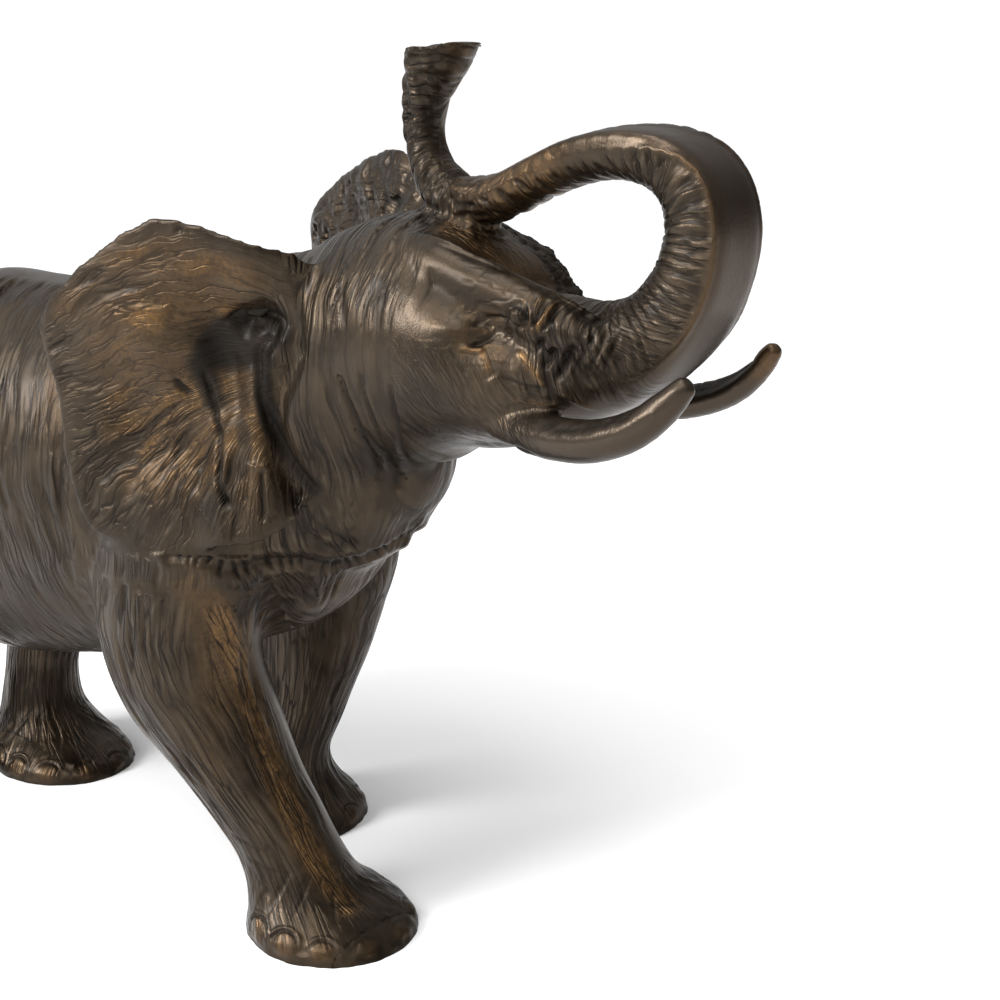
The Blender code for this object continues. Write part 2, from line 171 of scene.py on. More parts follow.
def read_along(run: np.ndarray, lengths: np.ndarray, rows: np.ndarray) -> np.ndarray:
    """Reads the first three columns of rows kept at a line's places.

    Args:
        run: Lengths run at which they are wanted.
        lengths: Length run at each place of the line.
        rows: One row per place of the line.

    Returns:
        Three columns, one row for each wanted length.
    """
    return np.stack([np.interp(run, lengths, rows[:, k]) for k in range(3)], axis=1)


def lattice(ix: np.ndarray, iy: np.ndarray, iz: np.ndarray, seed: int) -> np.ndarray:
    """Gives each lattice corner its own fixed value between -1 and 1."""
    h = (ix * 374761393 + iy * 668265263 + iz * 1440662683 + seed * 974711) & 0xFFFFFFFF
    h = ((h ^ (h >> 13)) * 1274126177) & 0xFFFFFFFF
    h = ((h ^ (h >> 15)) * 2246822519) & 0xFFFFFFFF
    return ((h ^ (h >> 16)) & 0xFFFF) / 32767.5 - 1.0


def ripple(points: np.ndarray, scale: Row, seed: int) -> np.ndarray:
    """Smooth repeatable unevenness, used for hammered, wavy and rough places.

    Args:
        points: Where it is wanted, three columns.
        scale: Size of one swell along each column.
        seed: Number that picks the pattern.

    Returns:
        Values between -1 and 1.
    """
    q = points / np.asarray(scale, float)
    base = np.floor(q).astype(np.int64)
    t = q - base
    t = t * t * t * (t * (t * 6 - 15) + 10)
    total = np.zeros(len(points))
    for dx in (0, 1):
        wx = t[:, 0] if dx else 1 - t[:, 0]
        for dy in (0, 1):
            wy = wx * (t[:, 1] if dy else 1 - t[:, 1])
            for dz in (0, 1):
                wz = wy * (t[:, 2] if dz else 1 - t[:, 2])
                total += wz * lattice(base[:, 0] + dx, base[:, 1] + dy, base[:, 2] + dz, seed)
    return total


def bell(x: np.ndarray, width: float) -> np.ndarray:
    """Rounded hump of height 1 at zero."""
    return np.exp(-((x / width) ** 2))


def step(x: np.ndarray, low: float, high: float) -> np.ndarray:
    """Smooth rise from 0 at low to 1 at high."""
    t = np.clip((x - low) / (high - low), 0, 1)
    return t * t * (3 - 2 * t)


@dataclass(frozen=True)
class HeadPose:
    """The head is made straight ahead and turned about the neck."""

    turn: float = 10.0
    pivot: Row = (30.0, 0.0)

    def place(self, points: np.ndarray) -> np.ndarray:
        """Turns straight-ahead points into their place on the animal."""
        t = radians(self.turn)
        out = np.array(points, float)
        f = out[:, 0] - self.pivot[0]
        l = out[:, 1].copy()
        out[:, 0] = self.pivot[0] + f * cos(t) + l * sin(t)
        out[:, 1] = -f * sin(t) + l * cos(t)
        return out

    def straighten(self, points: np.ndarray) -> np.ndarray:
        """Turns points of the animal back to where the head looks straight ahead."""
        t = radians(self.turn)
        out = np.array(points, float)
        f = out[:, 0] - self.pivot[0]
        l = out[:, 1].copy()
        out[:, 0] = self.pivot[0] + f * cos(t) - l * sin(t)
        out[:, 1] = f * sin(t) + l * cos(t)
        return out


@dataclass(frozen=True)
class Limb:
    """A form of changing elliptical section along a path: leg, neck, trunk, tusk or tail.

    Each station is forward, left, up, half width, half depth and, on the trunk, how far the
    outer half is squared off.
    """

    stations: Rows
    steps: int = 5
    sides: int = 28
    round_ends: tuple[bool, bool] = (True, True)
    ground: Ground = Ground.FREE
    blunt: float = 0.55
    pose: HeadPose | None = None
    level: Row | None = None

    def table(self) -> np.ndarray:
        """Stations as an array with the squaring column filled in."""
        t = np.asarray(self.stations, float)
        return t if t.shape[1] == 6 else np.hstack((t, np.zeros((len(t), 1))))

    def rings(self) -> list[np.ndarray]:
        """Works out every ring of the form, round ends included.

        Returns:
            One array of points per ring, in body frame millimetres.
        """
        line = smooth_line(self.table(), self.steps)
        tangent, side, normal = path_frames(line, self.ground)
        angles = np.linspace(0, 2 * pi, self.sides, endpoint=False)
        c, s = np.cos(angles), np.sin(angles)
        rings = []
        for i, row in enumerate(line):
            outer = np.clip(-s * 2.5 + 0.3, 0, 1) * row[5]
            x = c + (np.sign(c) * np.abs(c) ** 0.42 - c) * outer
            y = s + (np.sign(s) * np.abs(s) ** 0.42 * 0.94 - s) * outer
            rings.append(row[:3] + side[i] * (row[3] * x)[:, None] + normal[i] * (row[4] * y)[:, None])
        for end, way, wanted in ((0, -1.0, self.round_ends[0]), (-1, 1.0, self.round_ends[1])):
            if wanted:
                middle = line[end][:3]
                reach = self.blunt * min(line[end][3], line[end][4])
                caps = []
                for k in (1, 2, 3):
                    a = k * pi / 7
                    caps.append(middle + (rings[end] - middle) * cos(a) + tangent[end] * way * reach * sin(a))
                rings = caps[::-1] + rings if end == 0 else rings + caps
        if self.level:
            f0, z0, slope = self.level
            for ring in rings:
                ring[:, 2] = np.minimum(ring[:, 2], z0 + (ring[:, 0] - f0) * slope)
        return [self.pose.place(ring) for ring in rings] if self.pose else rings

    def build(self) -> bmesh.types.BMesh:
        """Extrudes a circle from ring to ring and closes both ends.

        Returns:
            A new closed bmesh in metres, not yet centred.
        """
        rings = [to_row(ring, (0.0, 0.0)) for ring in self.rings()]
        bm = bmesh.new()
        spot = bm.verts.layers.int.new("spot")
        made = bmesh.ops.create_circle(bm, cap_ends=False, segments=self.sides, radius=1.0)
        for k, v in enumerate(made["verts"]):
            v[spot] = k
            v.co = rings[0][k]
        edges = bm.edges[:]
        for ring in rings[1:]:
            geom = bmesh.ops.extrude_edge_only(bm, edges=edges)["geom"]
            for v in geom:
                if isinstance(v, bmesh.types.BMVert):
                    v.co = ring[v[spot]]
            edges = [e for e in geom if isinstance(e, bmesh.types.BMEdge) and e.is_boundary]
        bmesh.ops.holes_fill(bm, edges=[e for e in bm.edges if e.is_boundary], sides=0)
        bmesh.ops.recalc_face_normals(bm, faces=bm.faces[:])
        return bm


@dataclass(frozen=True)
class Ear:
    """A dished ear: a flattened ball drawn out to the ear's outline.

    The outline is given as distance back from the root and height.
    """

    side: Side
    spread: float
    lift: float = 0.0
    roll: float = 0.0
    stretch: float = 1.0
    root: Row = (64.0, 33.0)
    thick: float = 3.4
    centre: Row = (38.0, 178.0)
    outline: Rows = (
        (-4, 221), (8, 225), (20, 228.3), (33, 231.5), (43, 232.5), (51, 229), (65, 220.5),
        (78.5, 210.5), (86, 204), (90, 196.5), (88, 188), (84, 177), (83, 163), (83, 151), (78, 135),
        (72, 129), (63, 130), (57, 126), (49, 124), (40, 126), (34, 129), (25, 132), (12, 134),
        (2, 141), (-6, 154), (-6, 170), (-6, 188), (-6, 204),
    )

    def reach(self, angle: np.ndarray) -> np.ndarray:
        """Distance from the ear's centre to its outline at each angle."""
        rim = np.array(self.outline, float) - self.centre
        turn = np.arctan2(rim[:, 1], rim[:, 0])
        order = np.argsort(turn)
        return np.interp(angle, turn[order], np.hypot(rim[:, 0], rim[:, 1])[order], period=2 * pi)

    @staticmethod
    def dent(x: np.ndarray, y: np.ndarray, cx: float, cy: float, wx: float, wy: float) -> np.ndarray:
        """Rounded oval hump of height 1."""
        return np.exp(-(((x - cx) / wx) ** 2 + ((y - cy) / wy) ** 2))

    def dish(self, back: np.ndarray, up: np.ndarray, r: np.ndarray) -> np.ndarray:
        """How far the ear stands out from its plane."""
        out = 6.0 * r ** 2.2 - 15.0 * np.clip((14 - back) / 20, 0, 1) ** 1.4
        out = out - 7.5 * self.dent(back, up, 20, 186, 14, 26)
        out = out - 4.0 * self.dent(back, up, 34, 160, 16, 22)
        out = out + 4.5 * self.dent(back, up, 26, 152, 7, 20)
        out = out + 4.0 * self.dent(back, up, 52, 196, 24, 16)
        return out - 3.0 * self.dent(back, up, 58, 168, 10, 22)

    def build(self, pose: HeadPose) -> bmesh.types.BMesh:
        """Draws a ball out to the outline.

        Args:
            pose: Turn of the head that carries the ear.

        Returns:
            A new closed bmesh in metres, not yet centred.
        """
        bm = bmesh.new()
        bmesh.ops.create_uvsphere(bm, u_segments=72, v_segments=36, radius=1.0)
        p = np.array([v.co[:] for v in bm.verts])
        angle = np.arctan2(p[:, 1], p[:, 0])
        r = np.clip(np.hypot(p[:, 0], p[:, 1]), 0, 1)
        reach = self.reach(angle)
        back = self.centre[0] + r * reach * np.cos(angle)
        up = self.centre[1] + r * reach * np.sin(angle)
        out = self.dish(back, up, r) + np.sign(p[:, 2]) * np.abs(p[:, 2]) ** 0.8 * self.thick
        tilt = radians(self.roll)
        back = back * self.stretch
        up, back = up + back * sin(tilt), back * cos(tilt) - (up - self.centre[1]) * sin(tilt)
        t = radians(self.spread)
        f = self.root[0] - back * cos(t) + out * sin(t)
        l = self.side.value * (self.root[1] + back * sin(t) + out * cos(t))
        points = pose.place(np.stack((f, l, up + self.lift), axis=1))
        for v, co in zip(bm.verts, to_row(points, (0.0, 0.0))):
            v.co = co
        bmesh.ops.recalc_face_normals(bm, faces=bm.faces[:])
        return bm

    def read(self, head: np.ndarray) -> dict[str, np.ndarray]:
        """Reads head points in the ear's own flat coordinates.

        Args:
            head: Points with the head straight ahead.

        Returns:
            back, up, out, r (1 on the rim) and angle for each point.
        """
        t, tilt = radians(self.spread), radians(self.roll)
        df = head[:, 0] - self.root[0]
        dl = head[:, 1] * self.side.value - self.root[1]
        b = -df * cos(t) + dl * sin(t)
        out = df * sin(t) + dl * cos(t)
        u = head[:, 2] - self.lift - self.centre[1]
        det = cos(tilt) + sin(tilt) ** 2
        up = (cos(tilt) * u - sin(tilt) * b) / det
        back = (sin(tilt) * u + b) / det / self.stretch
        angle = np.arctan2(up, back - self.centre[0])
        r = np.hypot(up, back - self.centre[0]) / self.reach(angle)
        up = up + self.centre[1]
        return {"back": back, "up": up, "out": out - self.dish(back, up, np.clip(r, 0, 1)), "r": r,
                "angle": angle}


@dataclass
class Skin:
    """The casting's surface while it is carved: where each point is and what it takes on."""

    points: np.ndarray
    normals: np.ndarray
    pose: HeadPose
    head: np.ndarray = field(init=False)
    push: np.ndarray = field(init=False)
    gold: np.ndarray = field(init=False)
    shade: np.ndarray = field(init=False)
    smooth: np.ndarray = field(init=False)
    stroke: np.ndarray = field(init=False)
    way: np.ndarray = field(init=False)

    def __post_init__(self) -> None:
        """Prepares empty carving and patina values."""
        self.head = self.pose.straighten(self.points)
        self.push = np.zeros(len(self.points))
        self.gold = np.zeros(len(self.points))
        self.shade = np.zeros(len(self.points))
        self.smooth = np.zeros(len(self.points))
        self.stroke = np.zeros(len(self.points))
        self.way = np.zeros((len(self.points), 3))

    def darken(self, zone: np.ndarray, amount: np.ndarray) -> None:
        """Paints shade at the points, at least as much as given."""
        self.shade[zone] = np.maximum(self.shade[zone], amount)

    def rub(self, zone: np.ndarray, amount: np.ndarray) -> None:
        """Rubs the points golden, at least as much as given."""
        self.gold[zone] = np.maximum(self.gold[zone], amount)

    def even(self, zone: np.ndarray, amount: np.ndarray) -> None:
        """Leaves the points smooth and unworked, at least as much as given."""
        self.smooth[zone] = np.maximum(self.smooth[zone], amount)

    def lay(self, zone: np.ndarray, places: np.ndarray, strength: np.ndarray) -> None:
        """Says how the fine tool strokes run, where none as strong run already.

        Args:
            zone: Indices of the points.
            places: Their places in a space where a stroke is one unit wide and one unit long.
            strength: How deep the strokes are there, up to 1.
        """
        more = strength > self.stroke[zone]
        picked = zone[more]
        self.way[picked] = places[more]
        self.stroke[picked] = strength[more]

    def line(self, where: np.ndarray, picked: np.ndarray, path: Rows, width: float, height: float,
             shade: float = 0.0, gold: float = 0.0) -> None:
        """Cuts a groove or raises a cord along a path.

        Args:
            where: Points in the frame that the path is given in.
            picked: Indices of the points that may change.
            path: Corners of the line.
            width: Half width.
            height: Height, negative for a groove.
            shade: Painted shade laid along it.
            gold: How far it is rubbed bright.
        """
        line = smooth_line(np.asarray(path, float), 3)
        low, high = line.min(axis=0) - 3 * width, line.max(axis=0) + 3 * width
        local = where[picked]
        near = picked[np.all((local > low) & (local < high), axis=1)]
        if len(near) == 0:
            return
        gap, run = along(where[near], line)
        total = float(np.linalg.norm(np.diff(line, axis=0), axis=1).sum())
        taper = step(run, -0.2 * total, 0.15 * total) * step(total - run, -0.2 * total, 0.15 * total)
        amount = bell(gap, width) * taper
        self.push[near] += height * amount
        self.darken(near, shade * amount)
        self.rub(near, gold * amount)


@dataclass(frozen=True)
class TrunkCarving:
    """Rings over the trunk's inner face and sides, the smooth outer face and the edge between.

    A run is a length along the trunk. The section is leaned round the loop and twisted near the
    tip, each over its own run, and ring_count gives the strokes counted up to four such lengths.
    """

    limb: Limb
    pitch_base: float = 3.0
    pitch_tip: float = 4.1
    depth: float = 0.62
    corner: Row = (0.86, -0.80)
    edge_height: float = 0.95
    first_ring: float = 10.0
    twist: float = 52.0
    twist_run: Row = (160.0, 196.0)
    lean: float = 36.0
    lean_start: Row = (76.0, 104.0)
    lean_end: Row = (150.0, 172.0)
    tip_run: Row = (165.0, 190.0)
    lumps: float = 0.8
    ring_count: Rows = ((0, 50, 78, 230), (0, 31, 42, 88))
    weld: Rows = ((97.0, -7.0, 241.0), (107.0, -8.0, 239.0), (114.0, -6.0, 235.0))

    def carve(self, skin: Skin) -> None:
        """Cuts the rings, raises the edge and roughs up the joint with the head."""
        h = skin.head
        zone = np.flatnonzero((h[:, 0] > 74) & (h[:, 2] > 176) & (np.abs(h[:, 1]) < 30))
        line = smooth_line(self.limb.table(), 3)
        gap, run = along(h[zone], line[:, :3])
        _, _, normal = path_frames(line)
        lengths = lengths_of(line)
        near = read_along(run, lengths, line)
        back = read_along(run, lengths, normal)
        wide = np.interp(run, lengths, line[:, 3])
        deep = np.interp(run, lengths, line[:, 4])
        away = h[zone] - near
        plain_rise = (away * back).sum(axis=1) / deep
        plain_across = away[:, 1] / wide
        lean = radians(self.lean) * step(run, *self.lean_start)
        lean = lean * step(-run, -self.lean_end[1], -self.lean_end[0])
        turn = radians(self.twist) * step(run, *self.twist_run) - lean
        across = plain_across * np.cos(turn) + plain_rise * np.sin(turn)
        rise = plain_rise * np.cos(turn) - plain_across * np.sin(turn)
        on_trunk = step(-gap, -1.65 * deep, -1.35 * deep) * step(run, self.first_ring, self.first_ring + 22)
        f0, z0, slope = self.limb.level
        end = z0 + (h[zone, 0] - f0) * slope - h[zone, 2]
        on_trunk = on_trunk * np.where(run > 200, step(end, 0.6, 2.2), 1.0)
        tip = step(run, *self.tip_run)
        rings = self.rings((run, rise, across), tip)
        cover = step(rise, -0.78, -0.6) * (1 - tip) + step(rise, -0.9, -0.65) * tip
        cover = cover * on_trunk
        skin.push[zone] += cover * rings[0]
        # Painted shade in the ring grooves.
        skin.darken(zone, cover * rings[1])
        skew = (0.5 * step(-run, -62, -40) + 0.1) * rise * deep + 0.25 * across * wide
        count = np.interp(run + skew + 0.6 * rings[2], *self.ring_count)
        places = np.stack((count, rise * deep / 15, across * wide / 15), axis=1)
        skin.lay(zone, places, on_trunk * np.clip(cover, 0.0, 1) * 0.8)
        edge_gap = np.hypot((np.abs(across) - self.corner[0]) * wide, (rise - self.corner[1]) * deep)
        lively = 0.75 + 0.35 * ripple(np.stack((run, across, rise), axis=1), (7, 3, 3), 6)
        edge = bell(edge_gap, 0.9) * on_trunk * step(run, 34, 52) * step(-run, -174, -160)
        skin.push[zone] += self.edge_height * edge * lively
        face = step(-rise, 0.72, 0.84) * on_trunk * step(run, 30, 60)
        tip_face = step(-rise, 0.7, 0.9) * on_trunk * tip
        face = np.maximum(face * (1 - tip), tip_face)
        skin.push[zone] -= 0.7 * face * (1 - tip) * (1 - np.clip(np.abs(across), 0, 1) ** 2)
        skin.even(zone, face)
        skin.rub(zone, (0.1 + 0.3 * tip) * face + 0.25 * edge)
        self.joint(skin, zone)

    def rings(self, at: tuple[np.ndarray, ...], tip: np.ndarray) -> tuple[np.ndarray, ...]:
        """Works out uneven rings that run into each other and break off.

        Args:
            at: Length run along the trunk, and the place in its section.
            tip: How far each point is into the upright end.

        Returns:
            Height, painted shade in the grooves and the unevenness of the run.
        """
        run, rise, across = at
        place = np.stack((run, rise * 9, across * 9), axis=1)
        wobble = 1.1 * ripple(place, (9, 7, 7), 3) + 0.45 * ripple(place, (3.5, 3, 3), 4)
        slant = 3.2 * across * tip + 1.2 * rise * step(run, 20, 60)
        pitch = self.pitch_base + (self.pitch_tip - self.pitch_base) * step(run, 60, 200)
        total_height = np.zeros(len(run))
        total_shade = np.zeros(len(run))
        for share, size, wide, seed in ((1.0, 1.0, 0.45, 5), (0.47, 0.6, 0.36, 7)):
            phase = (run + wobble + slant) / (pitch * share)
            ring = np.floor(phase)
            gap = np.abs(phase - ring - 0.5) * pitch * share
            q = np.stack((ring * 1.7, rise * 2.4, across * 2.4), axis=1)
            lively = np.clip(0.72 * size + 0.7 * ripple(q, (1, 1, 1), seed) - 0.35 * (1 - size), 0, 1.1)
            cut = bell(gap, wide)
            total_height -= self.depth * (1 - 0.6 * tip) * size * lively * cut
            total_shade = np.maximum(total_shade, 0.7 * size * lively * cut)
        bulge = np.cos(2 * pi * ((run + wobble + slant) / pitch))
        return total_height + (0.08 + 0.06 * tip) * bulge, total_shade, wobble

    def joint(self, skin: Skin, zone: np.ndarray) -> None:
        """Roughs up the lumpy metal where the trunk touches the head."""
        h = skin.head[zone]
        knot, _ = along(h, np.array(self.weld))
        rough = bell(knot, 7.0)
        skin.push[zone] += self.lumps * rough * ripple(h, (3.4, 3.4, 3.4), 11)
        skin.push[zone] += 0.5 * self.lumps * rough * ripple(h, (1.5, 1.5, 1.5), 12)
        hole = bell(ripple(h, (3.0, 3.0, 3.0), 13) - 0.5, 0.2) * rough
        skin.push[zone] -= 0.8 * hole
        # Painted shade over the lumps and in the holes.
        skin.darken(zone, 0.35 * rough + 0.5 * hole)


@dataclass(frozen=True)
class FaceCarving:
    """Eyes, lids, brows, wrinkles, cheeks, mouth and tusk sockets on both sides of the head."""

    eye: Row = (125.0, 27.0, 206.6)
    eye_size: float = 4.2
    boss: Row = (141.8, 24.2, 211.4)
    boss_size: float = 2.6
    socket: Row = (132.0, 28.0, 210.0)
    temple: Rows = ((116.0, 25.0, 217.0), (126.0, 23.5, 215.5), (135.0, 22.0, 213.5))
    tusk_shift: Row = (-2.0, 2.8)
    tusk_slim: float = 0.88
    side_share: float = 0.35
    tusk: Limb | None = None
    furrows: tuple[tuple[Rows, float, float], ...] = (
        (((127.8, 23.1, 207.3), (129.6, 21.9, 208.5), (132.2, 21.5, 209), (136.8, 22.7, 209.3)), 0.7, -1.5),
        (((129.1, 26.6, 202.5), (131, 24.3, 203.5), (132.9, 21.6, 205.2)), 0.75, -1.4),
        (((139.7, 23.7, 213.5), (142.1, 23.3, 213.7), (144.3, 23.4, 212.6), (144.7, 23.8, 211.1),
          (143.2, 24.6, 210)), 0.6, -1.0),
        (((137.6, 23.3, 212.7), (138, 23.8, 210.4), (135.7, 21.4, 207.2)), 0.6, -0.8),
        (((146.3, 23.7, 208.6), (148.1, 22.6, 211.8), (148.7, 19.6, 215.2)), 0.6, -1.0),
        (((149.8, 23, 208.1), (151.5, 21.9, 211.1), (152.3, 18.3, 214.1)), 0.6, -1.0),
        (((143.2, 24.1, 207.8), (144.7, 24.3, 209.3), (145.7, 23.5, 211.2)), 0.6, -0.7),
        (((146.9, 21, 202.5), (148.8, 22.2, 204.4), (150.3, 22.7, 206.3)), 0.8, -1.0),
        (((149.7, 21.2, 198.8), (150.8, 20.4, 200.7), (153.2, 21.3, 203)), 1.0, -1.2),
        (((152.8, 20.2, 195), (155.3, 19.2, 199.5), (159.4, 20.4, 204.7)), 1.4, -1.6),
        (((157.2, 18.2, 197.5), (161.2, 19.6, 202.7), (162.8, 18, 207.1)), 0.7, -0.8),
        (((161.8, 17.4, 197.9), (165.3, 18.2, 203.7), (164.9, 14.8, 208)), 0.6, -0.6),
        (((165.4, 16, 198.2), (167.5, 15.6, 203.6), (168.4, 14.2, 207.7)), 0.6, -0.6),
        (((139.1, 25.8, 194.9), (144.2, 24, 193.1), (149.2, 21.6, 192.1)), 0.7, -0.6),
        (((124.4, 29.9, 200.5), (126.6, 29.9, 198), (129, 29.4, 194.9)), 0.7, -0.4),
        (((112, 22.5, 164.5), (126, 15, 170.5), (140, 23, 175.0), (149, 25, 174.9)), 0.8, -0.9),
        (((100, 28.5, 222), (101.5, 27.5, 217), (101, 28, 211)), 0.7, -0.45),
        (((106, 27.5, 222.5), (107.5, 27, 216.5), (106.5, 28.5, 210)), 0.7, -0.45),
        (((112, 26.5, 221), (113.5, 27, 216), (112.5, 28, 211)), 0.7, -0.4),
    )
    ridges: tuple[tuple[Rows, float, float, float], ...] = (
        (((128.5, 23.1, 211.2), (130.9, 22.5, 210.8), (133.9, 22.3, 210.3)), 0.7, 0.6, 0.9),
        (((132.2, 23.7, 214.3), (134.2, 23.4, 213.7), (136.5, 23.3, 213.1)), 0.7, 0.5, 0.8),
        (((127.9, 23.6, 206.6), (129.5, 22.2, 206.3), (131.8, 21.6, 205.7)), 0.7, 0.7, 0.9),
        (((144.9, 24.1, 208.8), (146.3, 23, 212.2), (147.1, 20.2, 215.7)), 0.8, 0.5, 0.8),
        (((147.6, 23.3, 207.9), (150.1, 22.1, 211.5), (151, 18.3, 214.8)), 0.9, 0.6, 0.9),
        (((127.2, 28.2, 201.6), (129.8, 27.1, 201.5), (132.3, 25.7, 201.4)), 0.7, 0.6, 0.8),
        (((131.8, 26, 201.4), (133.8, 26.7, 199), (134.9, 27.1, 196.2)), 0.8, 0.5, 0.7),
        (((134.8, 27.4, 192.7), (136.2, 27, 193.6), (137.5, 26.5, 194.5)), 0.7, 0.6, 0.1),
        (((141.9, 22.2, 201.5), (146.5, 22.6, 197.5), (149.5, 21.7, 193.8)), 0.8, 0.6, 0.8),
        (((141.4, 24, 188.7), (146.4, 20.8, 188), (152, 17.9, 187.8)), 0.7, 0.5, 0.2),
        (((153.1, 18.9, 190.8), (155.8, 15.8, 188.8), (158, 12.1, 186.9)), 0.7, 0.6, 0.2),
    )
    neck_furrows: tuple[tuple[Rows, float, float], ...] = (
        (((83.8, 32.1, 188.3), (85.0, 28.8, 176.5), (82.6, 20.3, 164.0), (79.2, 13.9, 154.0)), 1.0, -1.2),
        (((86.0, 25.8, 171.8), (84.8, 18.1, 162.3), (80.8, 7.0, 150.5)), 1.0, -1.2),
        (((102.9, 31.6, 187.9), (97.9, 25.4, 171.3), (84.3, 6.0, 154.6)), 0.9, -0.8),
        (((92, 32.1, 190), (91.0, 27.8, 173), (83, 12, 157)), 0.9, -0.7),
    )
    cord: Rows = (
        (103, 18.5, 229.8), (112, 18.6, 227.8), (121, 17.6, 225.4), (130, 16.6, 221.6),
        (141, 15.5, 218.0), (152, 14.4, 214.8), (160, 12.6, 211.5),
    )

    def carve(self, skin: Skin) -> None:
        """Works both sides of the face."""
        h = skin.head
        for side in Side:
            zone = np.flatnonzero((h[:, 1] * side.value > 0) & (h[:, 0] > 68) & (h[:, 2] > 130)
                                  & (np.abs(h[:, 1]) < 45))
            m = h * (1, side.value, 1)
            self.eyes(skin, zone, m[zone])
            eased = m * (1, self.side_share, 1)
            # The furrows carry painted shade that grows with their depth.
            for path, width, depth in self.furrows + self.neck_furrows:
                skin.line(eased, zone, self.ease(path), width, 1.1 * depth, min(0.95, 1.2 * abs(depth)))
            for path, width, height, gold in self.ridges:
                skin.line(eased, zone, self.ease(path), width, height, 0.0, gold)
            skin.line(m, zone, self.cord, 0.9, 1.0 if side is Side.RIGHT else 0.2)
            self.cheeks(skin, zone, m[zone], side)
            self.tusks(skin, zone, m[zone], side)

    def ease(self, path: Rows) -> Rows:
        """Draws a path in sideways, so that a line still bites where the skin lies off it."""
        return tuple((f, l * self.side_share, z) for f, l, z in path)

    def eyes(self, skin: Skin, zone: np.ndarray, m: np.ndarray) -> None:
        """Sinks the socket, swells the closed lid and raises the boss in front of it."""
        away = m - self.socket
        skin.push[zone] -= 1.6 * bell(np.linalg.norm(away * (0.8, 0.5, 1), axis=1), 7.5)
        away = m - self.eye
        lid = bell(np.linalg.norm(away * (0.62, 0.5, 1.35), axis=1), self.eye_size)
        skin.push[zone] += 1.5 * lid
        gap = np.linalg.norm((m - self.boss) * (1, 0.6, 1), axis=1)
        skin.push[zone] += 1.3 * np.exp(-(gap / self.boss_size) ** 4) - 0.5 * bell(gap - 3.4, 0.8)
        around = bell(np.linalg.norm((m - self.socket) * (1, 0.4, 1), axis=1), 12)
        skin.rub(zone, 0.3 * around * step(ripple(m, (3.5, 3.5, 2.5), 22), -0.2, 0.5))
        temple, _ = along(m, np.array(self.temple))
        skin.push[zone] -= 1.0 * bell(temple, 5.0)
        # Painted shade in the temple hollow.
        skin.darken(zone, 0.6 * bell(temple, 5.5))
        wrinkle = ripple(m, (5, 5, 1.5), 21)
        skin.push[zone] -= 0.45 * bell(wrinkle, 0.2) * around * (1 - lid)

    def cheeks(self, skin: Skin, zone: np.ndarray, m: np.ndarray, side: Side) -> None:
        """Hatches the cheek, strokes the neck and roughs the brow."""
        f, l, z = m.T
        drift = 1.4 * ripple(m, (14, 14, 14), 31)
        cross = (f * 0.8 + z * 0.6 + drift)
        lengthwise = (-f * 0.6 + z * 0.8)
        cheek = step(f, 96, 110) * step(-z, -206, -196) * step(-f, -158, -142) * step(z, 166, 172)
        q = np.stack((cross / 1.3, (l + drift) / 5, lengthwise / 9), axis=1)
        skin.push[zone] -= 0.16 * step(-ripple(q, (1.5, 1.5, 1.5), 32), 0.1, 0.6) * cheek
        skin.lay(zone, q, 0.35 * cheek)
        q = np.stack((f + drift, l * 0.4, z), axis=1)
        fluting = ripple(q, (3.4, 8, 22), 33)
        neck = step(f, 70, 80) * step(-f, -112, -98)
        skin.push[zone] -= 0.5 * bell(fluting, 0.22) * neck * (0.5 + step(z, 200, 214))
        skin.push[zone] += 0.35 * fluting * neck * step(z, 200, 214)
        # Painted shade in the neck's flutes.
        skin.darken(zone, 0.45 * bell(fluting, 0.2) * neck)
        q = np.stack(((f + drift) / 1.7, l / 8, z / 12), axis=1)
        skin.lay(zone, q, neck * (0.15 + 0.45 * step(z, 205, 216)))
        root = step(f, 136, 146) * step(-f, -182, -166) * step(z, 186, 193) * step(-z, -219, -212)
        q = np.stack((f + 0.22 * (z - 205) + drift, l * 0.3, z), axis=1)
        folds = ripple(q, (2.7, 9, 15), 34)
        skin.push[zone] -= 0.6 * bell(folds, 0.2) * root
        # Painted shade in the folds at the trunk's root.
        skin.darken(zone, 0.7 * bell(folds, 0.18) * root)
        skin.lay(zone, q / (1.9, 5, 14), 0.8 * root)
        valley = step(f, 98, 106) * step(-f, -152, -138) * step(-l, -17.5, -14.5) * step(z, 205, 209)
        skin.rub(zone, 0.42 * valley)
        skin.lay(zone, np.stack((l / 1.6, f / 8, z / 8), axis=1), 0.35 * valley)
        if side is Side.LEFT:
            brow = step(f, 96, 104) * step(-f, -146, -138) * step(z, 200, 206) * step(l, 4, 9)
            skin.push[zone] += 0.85 * brow * ripple(m, (3.2, 3.2, 2.2), 35)
            skin.push[zone] -= 0.8 * brow * bell(ripple(m, (2.6, 2.6, 1.8), 36), 0.18)
            # Painted shade over the rough brow.
            skin.darken(zone, 0.6 * brow)

